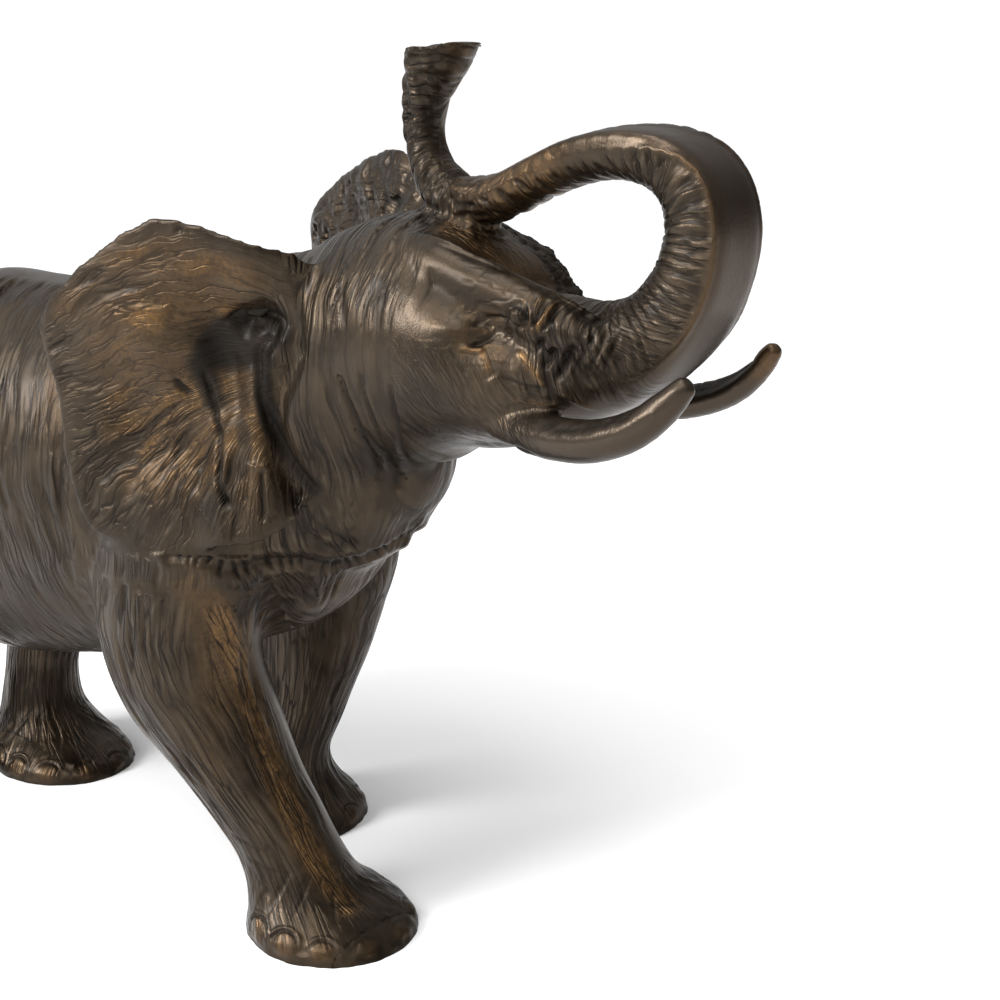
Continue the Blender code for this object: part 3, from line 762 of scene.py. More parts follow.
    def tusks(self, skin: Skin, zone: np.ndarray, m: np.ndarray, side: Side) -> None:
        """Cuts the gum line along the tusk and hollows the far tusk's inner side."""
        if self.tusk is None:
            return
        shift = self.tusk_shift if side is Side.LEFT else (0.0, 0.0)
        line = smooth_line(self.tusk.table(), 4)
        core = line[:, :3] + (shift[0], 0, shift[1])
        gap, run = along(m, core)
        lengths = lengths_of(core)
        size = np.interp(run, lengths, line[:, 4]) * (self.tusk_slim if side is Side.LEFT else 1.0)
        mid = read_along(run, lengths, core)
        on = step(-gap, -1.5 * size - 0.8, -1.2 * size - 0.2) * step(m[:, 0], 146, 156)
        skin.even(zone, on)
        away = (m - mid) / size[:, None]
        if side is Side.RIGHT:
            gum = bell(away[:, 2] - 0.72 - 0.12 * ripple(m, (3, 3, 3), 41), 0.24)
            gum = gum * on * step(-run, -62, -50) * step(m[:, 1] - mid[:, 1], -1, 1.5)
            skin.push[zone] -= 0.7 * gum * (0.8 + 0.4 * ripple(m, (1.6, 1.6, 1.6), 42))
            # Painted shade in the gum line.
            skin.darken(zone, 0.9 * gum)
        else:
            groove = bell(away[:, 2] - 0.7, 0.5) * step(mid[:, 1] - m[:, 1], -2.5, 1.0)
            groove = groove * on * step(run, 24, 34) * step(-run, -68, -60)
            skin.push[zone] -= 1.7 * groove
            # Painted shade in the far tusk's groove.
            skin.darken(zone, np.clip(1.3 * groove, 0, 1))
            tip = on * step(run, 58, 66)
            skin.rub(zone, 0.4 * tip)


@dataclass(frozen=True)
class EarCarving:
    """Strokes fanning out from the ear's root, painted shadow over its hollow, folds and casting pits."""

    ear: Ear
    stroke_depth: float = 0.45
    heart: Row = (10.0, 202.0)
    fan_width: float = 55.0
    flat_share: float = 0.7
    flat_bend: float = 0.006
    flat_shift: float = 152.3
    rough: float = 0.0
    pits: Rows = ()
    creases: tuple[tuple[Rows, float, float, float], ...] = (
        (((38.6, 39, 199.7), (43.8, 36.1, 203.6), (49.2, 32.5, 203.6), (56.5, 31.1, 202.7),
          (57.8, 32, 199.4), (57.7, 33.7, 196), (55.1, 34.7, 192.2)), 1.0, -1.2, 1.0),
        (((54.8, 35, 196.4), (50.4, 35.7, 192.4), (51.3, 36.5, 185.9), (51.5, 36.2, 179.8),
          (52.4, 33.2, 170.8), (55.8, 31.4, 162.6), (60.1, 29.8, 156.4), (63.8, 27.3, 151.2)),
         1.5, -1.5, 1.0),
        (((33.2, 42.1, 184.1), (34.1, 40.9, 178.2), (37.5, 41.6, 167.2), (40.4, 44.8, 154.1),
          (43.5, 45.9, 146.3)), 1.0, -1.2, 0.95),
        (((49.1, 39.7, 158), (51.8, 38.9, 157.7), (53.8, 37.1, 157.4)), 0.7, 0.8, 0.0),
        (((53.2, 38.1, 156.6), (54.4, 39.6, 149.6), (55.2, 40.3, 142)), 0.9, -1.0, 0.85),
        (((47.3, 44.1, 143.8), (46.7, 45.7, 135.1)), 0.9, -0.8, 0.7),
        (((25.7, 47.7, 182.4), (26.6, 46.5, 180), (28.5, 44.5, 178.3)), 1.3, -1.3, 0.9),
        (((43.5, 45.9, 147.8), (44.2, 45.4, 146.0)), 1.5, -1.5, 1.0),
    )
    shadows: tuple[tuple[Rows, float, float], ...] = (
        (((34, 40, 191), (38, 37.5, 196), (45, 35, 199.5), (51, 33, 200.5), (56, 32.8, 198.5)), 6.5, 1.0),
        (((38, 37.5, 190), (45, 36, 192), (52, 35.5, 191)), 6.0, 0.97),
        (((50.4, 35.7, 192.4), (52.5, 36, 185.7), (52.1, 35.9, 179.9), (52.6, 34.3, 174.8), (53, 32.6, 168.3),
          (55.8, 31.4, 162.6), (60, 30.1, 157.1), (63.8, 27.3, 151.2)), 3.4, 1.0),
        (((32.7, 43.4, 187.3), (33.4, 42.1, 184.1), (35, 41, 176.4)), 4.2, 0.85),
        (((45.5, 38.5, 170), (47, 39.5, 163), (47, 41, 155)), 2.8, 0.6),
    )

    def carve(self, skin: Skin) -> None:
        """Works both faces of the ear."""
        h, side = skin.head, self.ear.side
        box = np.flatnonzero((h[:, 1] * side.value > 24) & (h[:, 0] < 80) & (h[:, 0] > -45)
                             & (h[:, 2] > 114))
        at = self.ear.read(h[box])
        hit = (at["r"] < 1.12) & (np.abs(at["out"]) < self.ear.thick + 2.5) & (at["back"] > -7)
        zone = box[hit]
        back, up, out, r = (at[k][hit] for k in ("back", "up", "out", "r"))
        n = skin.pose.straighten(skin.normals[zone] + (skin.pose.pivot[0], 0, 0)) - (skin.pose.pivot[0], 0, 0)
        t = radians(self.ear.spread)
        facing = n[:, 0] * sin(t) + n[:, 1] * side.value * cos(t)
        front = step(facing, -0.1, 0.35)
        far = np.hypot(back - self.heart[0], up - self.heart[1])
        sway = 1.5 * ripple(h[zone], (15, 15, 15), 51) + 0.5 * ripple(h[zone], (5, 5, 5), 50)
        q = np.stack((self.sweep(back, up) + sway, far, out), axis=1)
        fan = ripple(q, (2.4, 12, 30), 52) + 0.5 * ripple(q, (4.8, 24, 30), 53)
        lively = 0.45 + 0.65 * step(ripple(h[zone], (19, 19, 19), 54), -0.4, 0.5)
        keep = front * step(back, 6, 20) * step(far, 10, 20)
        rim = step(r, 0.88, 0.97)
        cut = step(-fan, 0.12, 0.75)
        skin.push[zone] += self.stroke_depth * (0.5 * fan - 1.4 * cut) * lively * keep * (1 - 0.9 * rim)
        # Painted shade in the stroke cuts, and lighter painted shade over the front face back from the root.
        painted_shade = np.maximum(0.5 * cut * keep * lively, 0.2 * front * step(back, 4, 22))
        skin.darken(zone, painted_shade)
        laid = (0.35 + 0.5 * step(back, 4, 16)) * front * (0.4 + 0.6 * lively) * (1 - 0.8 * rim)
        skin.lay(zone, q / (1.7, 12, 40), laid)
        gold = front * (0.3 + 0.5 * step(fan, -0.2, 0.5)) * step(back, 4, 22)
        gold = gold * (step(up, 196, 206) + step(-r, -0.75, -0.45)) * step(-r, -1.0, -0.8)
        bump = Ear.dent(back, up, 17, 170, 8, 22) * front
        skin.rub(zone, np.maximum(gold * (1 - 0.5 * rim), 0.6 * bump))
        self.rear(skin, zone, (back, r, (1 - front) * (1 - 0.8 * rim)), q)
        self.root(skin)

    def sweep(self, back: np.ndarray, up: np.ndarray) -> np.ndarray:
        """Numbers the strokes across the ear: they fan out below and lie flatter above.

        Args:
            back: Distance back from the root.
            up: Height.

        Returns:
            A value in millimetres that stays the same along a stroke.
        """
        fan = self.fan_width * np.arctan2(up - self.heart[1], back - self.heart[0])
        flat = self.flat_share * (up + self.flat_bend * (back - 30) ** 2) - self.flat_shift
        high = step(up, 160, 200)
        return fan * (1 - high) + flat * high

    def rear(self, skin: Skin, zone: np.ndarray, at: tuple[np.ndarray, ...], q: np.ndarray) -> None:
        """Works the ear's other face: long strokes, and where rough, lumps and pits.

        Args:
            skin: The surface.
            zone: Indices of the ear's points.
            at: Distance back, share of the way to the rim, and how far the face looks inward.
            q: Places of the points among the strokes.
        """
        back, r, rear = at
        h = skin.head[zone]
        skin.push[zone] -= 0.25 * step(-ripple(q, (3.5, 26, 30), 59), 0.1, 0.7) * rear * step(r, 0.2, 0.4)
        skin.lay(zone, q / (1.7, 14, 30), 0.5 * rear * step(r, 0.15, 0.4))
        if self.rough:
            lump = ripple(h, (4.6, 4.6, 4.6), 56) + 0.5 * ripple(h, (2.1, 2.1, 2.1), 57)
            pit = step(ripple(h, (4.2, 4.2, 4.2), 58), 0.4, 0.7)
            inner = rear * step(back, 16, 24)
            skin.push[zone] += self.rough * (0.7 * lump - 0.9 * pit) * inner
            # Painted shade in the pits.
            skin.darken(zone, 0.75 * pit * inner)
            fold = rear * step(-back, -22, -14)
            skin.push[zone] += 0.6 * fold * np.cos(2 * pi * (back - 2) / 7.5)

    def root(self, skin: Skin) -> None:
        """Cuts the creases of the hollow behind the head and sinks the casting pits, with painted shade
        in both, and paints shadow over the hollow.
        """
        side = self.ear.side.value
        m = skin.head * (1, side, 1)
        zone = np.flatnonzero((m[:, 1] > 18) & (m[:, 0] > 12) & (m[:, 0] < 74) & (m[:, 2] > 126))
        for path, width, height, shade in self.creases:
            skin.line(m, zone, path, width, height, shade)
        for path, width, shade in self.shadows:
            gap, _ = along(m[zone], np.array(path, float))
            skin.darken(zone, shade * np.exp(-(gap / width) ** 4))
        for f, l, z, size, depth in self.pits:
            pit = np.exp(-(np.linalg.norm(m[zone] - (f, l, z), axis=1) / size) ** 4)
            skin.push[zone] -= depth * pit
            skin.darken(zone, pit)


@dataclass(frozen=True)
class HideCarving:
    """Short wavy tool strokes over the trunk of the body and the legs, with its smooth places.

    The strokes change direction at the waist between fore and hind legs, at the legs' tops, at
    their reach from each leg's middle, and where the body's ends face forward or back.
    """

    legs: tuple[tuple[Side, float, Rows], ...]
    depth: float = 0.46
    end_facing: float = 0.62
    waist: float = -62.0
    leg_top: float = 114.0
    leg_reach: float = 37.0
    collar: Rows = (
        (16, -50, 128), (23.7, -48.6, 128.7), (31.8, -41.8, 123.6), (39.7, -34.8, 124.6),
        (50.2, -29, 124.7), (55.9, -20.7, 121.4), (63.6, -14.5, 123.6), (70, -6.4, 127), (75, 1, 130),
    )
    notch_pitch: float = 3.6
    shin: Rows = (
        (24, -48, 119), (27.5, -43.5, 106), (29.5, -36.5, 88), (34.5, -36, 71), (40, -35.5, 57),
        (46.5, -36, 44.5), (53, -36.5, 32.5), (59.5, -35, 22), (67.5, -34, 12.5),
    )
    wrinkles: tuple[tuple[Rows, float, float], ...] = (
        (((37, -46, 25.5), (49, -45, 23.2), (58, -40, 24.8)), 0.9, -0.3),
        (((58, -42, 14.5), (64.5, -38.9, 13.2), (70.3, -30.5, 10.7)), 1.0, -0.5),
        (((30, -47, 33), (42, -46, 30), (52, -42, 31)), 0.8, -0.35),
        (((-104, -2, 34), (-110, -2, 30), (-118, -2, 28)), 0.9, -0.5),
    )

    def carve(self, skin: Skin) -> None:
        """Cuts the strokes, then the collar fold with its notches, and marks the bare places."""
        p, n = skin.points, skin.normals
        h = skin.head
        body = step(-h[:, 0], -84, -76)
        ear_zone = step(p[:, 2], 120, 128) * step(np.abs(p[:, 1] + 0.17 * (p[:, 0] - 30)), 33, 38)
        ear_zone = ear_zone * step(-np.abs(p[:, 0] - 24), -54, -49)
        body = body * (1 - ear_zone)
        zone = np.flatnonzero(body > 0.01)
        body, at = body[zone], p[zone]
        places, seam = self.places(at, n[zone])
        fine = ripple(places, (1.25, 0.7, 0.7), 63)
        broad = ripple(places, (2.1, 1.1, 1.1), 64)
        lively = 0.35 + 0.8 * step(ripple(at, (24, 24, 24), 65), -0.5, 0.5)
        ribs = step(at[:, 2], 112, 140) * step(-at[:, 0], 22, 40)
        bare = self.bare_places(at, n[zone])
        keep = body * (1 - bare) * step(at[:, 2], 10, 24)
        cut = step(-fine, 0.1, 0.7)
        skin.push[zone] -= self.depth * lively * (1 + 0.9 * ribs) * cut * keep
        skin.push[zone] += keep * (0.12 * fine + (0.14 + 0.5 * ribs) * broad)
        # Painted shade in the stroke cuts, and over the body behind the shoulders above the legs.
        painted_shade = 0.3 * step(-at[:, 0], 10, 40) * step(at[:, 2], 60, 90)
        painted_shade = np.maximum(0.4 * cut * lively, painted_shade) * keep
        skin.darken(zone, painted_shade)
        skin.lay(zone, places, seam * body * (1 - bare) * (0.4 + 0.5 * lively) * step(at[:, 2], 1, 5))
        skin.even(zone, bare * body)
        patches = step(ripple(at, (30, 30, 44), 66), 0.05, 0.6)
        skin.rub(zone, 0.3 * patches * keep)
        self.fold(skin, zone, at)
        self.strip(skin, zone, at, n[zone])
        # The wrinkles carry painted shade.
        for path, width, depth in self.wrinkles:
            skin.line(p, zone, path, width, depth, 0.5)

    def strip(self, skin: Skin, zone: np.ndarray, at: np.ndarray, n: np.ndarray) -> None:
        """Rubs the strip down the leading leg golden and runs grooves along it."""
        line = smooth_line(np.array(self.shin), 3)
        gap, run = along(at, line)
        lengths = lengths_of(line)
        mid = read_along(run, lengths, line)
        ahead = read_along(run + 2, lengths, line)
        side = np.cross(ahead - mid + (0, 0, -1e-3), n)
        side /= np.maximum(np.linalg.norm(side, axis=1), 1e-9)[:, None]
        across = ((at - mid) * side).sum(axis=1)
        band = np.exp(-(gap / 5.0) ** 4) * step(run, 0, 18)
        drift = 0.7 * ripple(at, (9, 9, 9), 69)
        places = np.stack((across + drift, run / 8, 0 * run), axis=1) / (1.5, 1.6, 1)
        picked = band > 0.3
        skin.stroke[zone[picked]] = 0.0
        skin.lay(zone[picked], places[picked], step(band[picked], 0.3, 0.8))
        skin.smooth[zone] *= 1 - band
        skin.rub(zone, 0.75 * band)

    def places(self, at: np.ndarray, n: np.ndarray) -> tuple[np.ndarray, np.ndarray]:
        """Puts each point in a space where a stroke is one unit wide and one unit long.

        Strokes run round the trunk of the body, and down the legs, the chest and the rump.

        Args:
            at: The points.
            n: Their normals.

        Returns:
            Their places among the strokes, and how far each is from a change of direction, up to 1.
        """
        f, l, z = at.T
        sway = 2.0 * ripple(at, (26, 26, 18), 61) + 0.6 * ripple(at, (8, 8, 7), 62)
        lean = 0.16 * (z - 130) * step(-f, 20, 50)
        across, rise = l, z - 137.0
        out = np.hypot(across, rise) + 1e-6
        girth = np.stack(((f + sway + lean) / 2.2, 52 * across / out / 19, 52 * rise / out / 19), axis=1)
        ends = [(20.0, 0.0, 40.0), (-120.0, 0.0, 46.0)]
        found, seam = girth, np.ones(len(at))
        for (f0, l0, size), front in zip(ends, (1.0, -1.0)):
            round_end = (n[:, 0] * front > self.end_facing) & ((f - f0) * front > 0)
            found = np.where(round_end[:, None], self.column(at, f0, l0, size, sway), found)
            turned = step(np.abs(n[:, 0] * front - self.end_facing), 0.01, 0.12)
            seam = seam * np.where((f - f0) * front > 0, turned, 1.0)
        top = self.leg_top + 3 * sway
        for side, split, rows in self.legs:
            axis = np.array(sorted((r[2], r[0], r[1]) for r in rows if -2 < r[2] < 120))
            level = np.clip(z, axis[0, 0], axis[-1, 0])
            f0 = np.interp(level, axis[:, 0], axis[:, 1])
            l0 = np.interp(level, axis[:, 0], axis[:, 2])
            quarter = (l * side.value > 0) & ((f > self.waist) == (split > self.waist))
            reach = np.hypot(f - f0, l - l0)
            close = quarter & (z < top) & (reach < self.leg_reach + 4)
            mine = quarter & (z < top) & (reach < self.leg_reach)
            found = np.where(mine[:, None], self.column(at, f0, l0, 20.0, sway), found)
            ahead = quarter & (reach < self.leg_reach)
            seam = seam * np.where(close, step(np.abs(reach - self.leg_reach), 0.3, 4), 1.0)
            seam = seam * np.where(ahead, step(np.abs(z - top), 0.5, 6), 1.0)
        return found, seam

    @staticmethod
    def column(at: np.ndarray, f0: np.ndarray | float, l0: np.ndarray | float, size: float,
               sway: np.ndarray) -> np.ndarray:
        """Places on an upright column of the given radius, whose strokes run up and down."""
        angle = np.arctan2(at[:, 1] - l0, at[:, 0] - f0) + sway / size * 0.6
        return np.stack((size * np.cos(angle) / 2.2, size * np.sin(angle) / 2.2, at[:, 2] / 20), axis=1)

    @staticmethod
    def bare_places(p: np.ndarray, n: np.ndarray) -> np.ndarray:
        """Where the surface was left smooth: the spine and the edge of the leading leg."""
        f, l, z = p.T
        spine = step(n[:, 2], 0.72, 0.9) * step(z, 175, 185) * step(-np.abs(l), -12, -7) * step(-f, -40, -25)
        facing = n[:, 0] * 0.66 + n[:, 1] * 0.75
        edge = step(facing, 0.62, 0.85) * step(-l, 2, 8) * step(f, -6, 4) * step(-z, -124, -108)
        breast = step(n[:, 0], 0.55, 0.85) * step(f, 50, 62) * step(-z, -122, -112)
        return np.clip(spine + edge + breast, 0, 1)

    def fold(self, skin: Skin, zone: np.ndarray, p: np.ndarray) -> None:
        """Cuts the collar fold and the row of short notches along it."""
        for side in Side:
            m = p * (1, -side.value, 1)
            mine = np.flatnonzero((m[:, 1] < 1) & (p[:, 0] > 0) & (p[:, 2] > 108) & (p[:, 2] < 150))
            gap, run = along(m[mine], smooth_line(np.array(self.collar), 4))
            uneven = run + 0.9 * ripple(m[mine], (5, 5, 5), 67) + 0.25 * m[mine][:, 2]
            notch = np.abs(np.mod(uneven, self.notch_pitch) - self.notch_pitch / 2)
            cut = bell(notch, 0.6) * bell(gap - 1.0, 2.6) * step(ripple(m[mine], (4, 4, 4), 68), -0.6, -0.1)
            picked = zone[mine]
            skin.push[picked] -= 0.9 * bell(gap, 1.6) + 0.9 * cut
            skin.push[picked] += 0.9 * bell(gap - 4.6, 2.4)
            # Painted shade in the fold and the notches.
            skin.darken(picked, np.clip(0.45 * bell(gap, 1.5) + 0.95 * cut, 0, 1))
            skin.stroke[picked] *= 1 - 0.8 * bell(gap, 3.0)


@dataclass(frozen=True)
class FeetCarving:
    """Toenails, the cleft round each and the rolled edge of the sole."""

    feet: Rows = (
        (58, -29.2, 29.5, 27.5), (-3, 27.5, 28.2, 27.5), (-115, 16.5, 31.5, 26), (-160.5, -23.5, 31, 25.8),
    )
    angles: Row = (-116, -90, -62, -30, 6, 40)
    radius: float = 4.4
    height: float = 0.55
    level: float = 5.4

    def carve(self, skin: Skin) -> None:
        """Raises each nail in its own cleft and roughs the sole's edge."""
        low = np.flatnonzero(skin.points[:, 2] < 26)
        p = skin.points[low]
        for f, l, long, wide in self.feet:
            for a in self.angles:
                spot = (f + (long - 0.5) * cos(radians(a)), l + (wide - 0.5) * sin(radians(a)), self.level)
                gap = np.linalg.norm((p - spot) * (1, 1, 1.05), axis=1) / self.radius
                above = step(p[:, 2], self.level - 1, self.level + 2)
                skin.push[low] += self.height * np.exp(-gap ** 4) * step(p[:, 2], 0.8, 3)
                cleft = bell(gap - 1.12, 0.1) * above
                skin.push[low] -= 0.6 * cleft
                skin.push[low] += 0.35 * bell(gap - 1.36, 0.13) * above
                # Painted shade in each cleft.
                skin.darken(low, 0.85 * cleft)
                skin.rub(low, 0.3 * np.exp(-gap ** 4))
        turn = np.zeros(len(p))
        reach = np.full(len(p), 1e9)
        for f, l, long, wide in self.feet:
            r = np.hypot((p[:, 0] - f) / long, (p[:, 1] - l) / wide)
            nearer = r < reach
            turn = np.where(nearer, np.arctan2((p[:, 1] - l) / wide, (p[:, 0] - f) / long) * 29, turn)
            reach = np.where(nearer, r, reach)
        q = np.stack((turn, p[:, 2], reach * 10), axis=1)
        strokes = step(-ripple(q, (2.6, 12, 20), 71), 0.1, 0.7)
        top = step(p[:, 2], 8, 13) * step(-p[:, 2], -25, -18)
        skin.push[low] -= 0.4 * strokes * top
        skin.push[low] += 0.3 * ripple(p, (3.4, 3.4, 2.2), 72) * step(-p[:, 2], -14, -6)
        # Painted shade in the strokes round the foot.
        skin.darken(low, 0.45 * strokes * top)
        # Painted shade, darker towards the ground.
        skin.darken(low, 0.35 * step(-p[:, 2], -3, 0))


@dataclass(frozen=True)
class Portion:
    """One stretch of the casting, kept as its own mesh only so that each stays workable.

    Each plane is a point and the direction in which the portion lies, in the body frame.
    """

    name: str
    planes: tuple[tuple[Row, Row], ...]


@dataclass
class Casting:
    """The whole animal: rough forms joined into one skin, softened, carved and portioned."""

    middle: Row = (3.244, -2.510)
    voxel: float = 1.25
    smooth_passes: int = 8
    mass_passes: int = 45
    triangles: int = 193000
    overlap: float = 0.7
    cut_margin: float = 2.5
    gold_fade: float = 1.5
    pose: HeadPose = field(default_factory=HeadPose)
    trunk_end: Row = (78.0, 279.0, 0.1)
    torso: Rows = (
        (-176, 154, 126, 13), (-174, 162, 118, 20), (-169, 171, 105, 28), (-161, 182, 90, 36),
        (-146, 193, 74, 43), (-126, 201, 63, 48), (-104, 204, 58, 51), (-78, 203, 62, 52),
        (-50, 203, 68, 52), (-20, 205, 76, 50), (10, 209, 86, 46), (34, 206, 97, 41),
        (54, 196, 108, 34), (67.5, 181, 118, 27), (76, 167, 128, 20), (80, 157, 135, 12),
    )
    neck: Rows = (
        (-30, 0, 146, 44, 50), (0, 0, 156, 45, 55), (25, -1, 166, 42, 52), (50, -3, 179, 38, 44),
        (71, -7, 191, 35, 36.5), (92, -11, 199, 33, 34), (104, -13, 201, 29, 30),
    )
    head: Rows = (
        (60, 0, 190, 31, 36), (80, 0, 195, 34, 38), (98, 0, 198, 34, 37), (114, 0, 196.5, 33, 30.5),
        (128, 0, 193.5, 30, 23), (142, 0, 194.5, 25, 17.5), (154, 0, 197.5, 20, 14),
    )
    trunk: Rows = (
        (138, 0, 195.5, 22, 19, 0.0), (151, 0, 197.5, 19, 16.5, 0.1), (161.5, 0, 201, 16, 14.5, 0.35),
        (170.5, 0, 206, 14.4, 13.0, 0.7), (178, 0, 213.5, 13.2, 12.2, 1.0),
        (183.6, 0, 223.5, 12.4, 11.6, 1.0), (185.6, 0, 235, 12.2, 11.0, 1.0),
        (182.6, 0, 245.0, 12.0, 10.1, 1.0), (173.8, 0, 251.6, 11.8, 8.8, 1.0),
        (160.5, 0, 253.4, 11.4, 7.4, 1.0), (146, 0, 251.2, 10.6, 6.8, 0.9),
        (132, 0, 246.2, 9.6, 6.6, 0.8), (118.5, 0, 240.4, 8.8, 6.9, 0.6),
        (107, 0, 237.8, 8.0, 7.4, 0.5), (97, 0, 239.4, 7.4, 7.4, 0.4), (89.2, 0, 246.5, 6.6, 6.6, 0.3),
        (86.0, 0, 256, 6.2, 6.1, 0.2), (87.0, 0, 265, 7.0, 7.0, 0.2), (89.6, 0, 273, 9.0, 9.0, 0.1),
        (92.5, 0, 281, 11.9, 12.0, 0.0), (94, 0, 288, 13.0, 12.6, 0.0),
    )
    tusk: Rows = (
        (132, 17, 181.0, 6.6, 6.4), (145, 20, 179.6, 6.6, 6.2), (157, 22.5, 179.9, 6.3, 6.1),
        (169, 24, 181.7, 6.0, 5.9), (181, 24, 186.4, 5.5, 5.3), (190, 23, 193.5, 4.5, 4.4),
        (195.3, 22, 199.5, 3.2, 3.2),
    )
    tusk_far_shift: Row = (-2.0, 2.8)
    tusk_far_slim: float = 0.88
    brow: Rows = (
        (84, 12, 222, 9, 9), (104, 16, 221.5, 9, 8.5), (120, 17.5, 216.5, 8.5, 8.5),
        (135, 17, 213, 8, 8), (150, 15, 207.5, 8, 8), (163, 11, 202, 8, 7),
    )
    brow_far: Rows = (
        (84, 12, 222, 9, 9), (102, 15, 220.8, 9, 8.5), (117, 16, 215, 8.5, 8.5), (129, 15, 206, 8, 8),
        (140, 13, 197, 8, 7),
    )
    jaw: Rows = (
        (96, 0, 178, 16, 12), (112, 0, 177.3, 14, 11), (126, 0, 177.2, 10, 8.4),
        (137, 0, 176.4, 5.5, 5.5),
    )
    leg_front_right: Rows = (
        (16, -22, 172, 14, 24), (9, -28, 146, 21, 36), (2, -31, 118, 23, 33),
        (-0.2, -32.8, 97, 22.7, 30.6), (5.5, -32.8, 78, 22.3, 27.2), (17, -31.8, 61, 20.8, 20.8),
        (27.6, -31.3, 45, 17.9, 17.2), (37, -30.3, 31, 16, 16.5), (42.8, -29.5, 20, 17, 17.6),
        (48, -29.5, 12.5, 20.5, 19.6), (54.3, -29.5, 7, 25, 24.6), (58, -29.2, 1, 27.5, 29.5),
        (58, -29.2, -14, 27.5, 29.5),
    )
    leg_front_left: Rows = (
        (16, 20, 170, 14, 24), (8, 26, 144, 21, 36), (8.5, 29.5, 114, 22, 36.5),
        (7.2, 31, 89, 20, 28.6), (4.5, 31, 68, 18, 22.5), (0.5, 30, 47, 15.5, 17.3),
        (-4.7, 29, 31, 15, 15.8), (-6.3, 28.5, 20, 16.5, 17.5), (-5.6, 28, 12.5, 20.5, 21.5),
        (-3.9, 27.6, 6.5, 25.5, 25.5), (-3, 27.5, 0, 27.5, 28.2), (-3, 27.5, -14, 27.5, 28.2),
    )
    leg_hind_left: Rows = (
        (-126, 14, 172, 14, 24), (-130, 24, 140, 23, 39), (-127, 27, 106, 22, 34),
        (-120.5, 27, 81, 18, 25), (-125.5, 25, 60, 15.5, 18), (-129.5, 24, 43, 14.5, 15),
        (-129.5, 22, 31, 14.8, 15.2), (-128.5, 20.5, 20, 16.5, 18), (-124, 18.5, 12.5, 20.5, 24),
        (-117, 17, 6.5, 24, 28.5), (-115, 16.5, 0, 26, 31.5), (-115, 16.5, -14, 26, 31.5),
    )
    leg_hind_right: Rows = (
        (-128, -14, 172, 14, 24), (-135, -24, 142, 23, 38), (-139, -27, 110, 22, 32),
        (-143, -27, 83, 18.5, 25), (-154, -26, 60, 15.5, 18.5), (-163, -25, 42, 14.5, 15.5),
        (-168, -25, 31, 14.8, 16), (-169, -24.5, 20, 16.5, 18.5), (-166.5, -24, 12.5, 20.5, 23.5),
        (-161.5, -23.5, 6.5, 24, 28.5), (-160.5, -23.5, 0, 25.8, 31), (-160.5, -23.5, -14, 25.8, 31),
    )
    tail: Rows = (
        (-158, 0, 178, 6.5, 6.5), (-171, 1, 172, 5.5, 5.5), (-181, 3, 156, 4.2, 4.2),
        (-185, 6, 134, 3.4, 3.4), (-184, 9, 112, 3.2, 3.2), (-180, 11, 94, 4.6, 4.6),
        (-178, 12, 82, 3.4, 3.4),
    )
    near_ear: Ear = Ear(Side.RIGHT, 17.0)
    far_ear: Ear = Ear(Side.LEFT, 10.0, lift=9.0, roll=9.5, stretch=1.06)
    ear_root_cuts: tuple[tuple[Rows, float, float], ...] = (
        (((40, 40, 201), (49, 41, 203.5), (56, 41, 202), (58, 41, 196), (54, 41, 188), (50.4, 41, 179),
          (49, 41, 170), (51, 41, 163), (54, 40, 156), (58, 38.5, 149)), 4.2, 5.5),
        (((30, 44, 199), (32, 41, 188), (35, 41, 177)), 5.0, 3.0),
    )
    portions: tuple[Portion, ...] = (
        Portion("head_and_trunk", (((82.0, -9.0, 0.0), (0.985, -0.174, 0.0)),)),
        Portion("ears_and_shoulders", (((82.0, -9.0, 0.0), (-0.985, 0.174, 0.0)),
                                       ((0.0, 0.0, 112.0), (0.0, 0.0, 1.0)),
                                       ((-60.0, 0.0, 0.0), (1.0, 0.0, 0.0)))),
        Portion("forelegs_and_chest", (((82.0, -9.0, 0.0), (-0.985, 0.174, 0.0)),
                                       ((0.0, 0.0, 112.0), (0.0, 0.0, -1.0)),
                                       ((-60.0, 0.0, 0.0), (1.0, 0.0, 0.0)))),
        Portion("hindquarters", (((-60.0, 0.0, 0.0), (-1.0, 0.0, 0.0)),)),
    )

    def paired(self, rows: Rows, side: Side, shift: Row = (0.0, 0.0), slim: float = 1.0) -> Rows:
        """Stations of a paired form on one side of the head, slimmed by a factor."""
        return tuple((f + shift[0], side.value * l, z + shift[1], a * slim, b * slim)
                     for f, l, z, a, b in rows)

    def trunk_limb(self) -> Limb:
        """The trunk, from the face round the loop to its level end."""
        return Limb(self.trunk, steps=6, sides=36, round_ends=(False, False), pose=self.pose,
                    level=self.trunk_end)

    def legs(self) -> tuple[tuple[Side, float, Rows], ...]:
        """Every leg with its side and the forward place it belongs to."""
        return ((Side.RIGHT, 0.0, self.leg_front_right), (Side.LEFT, 0.0, self.leg_front_left),
                (Side.LEFT, -120.0, self.leg_hind_left), (Side.RIGHT, -120.0, self.leg_hind_right))

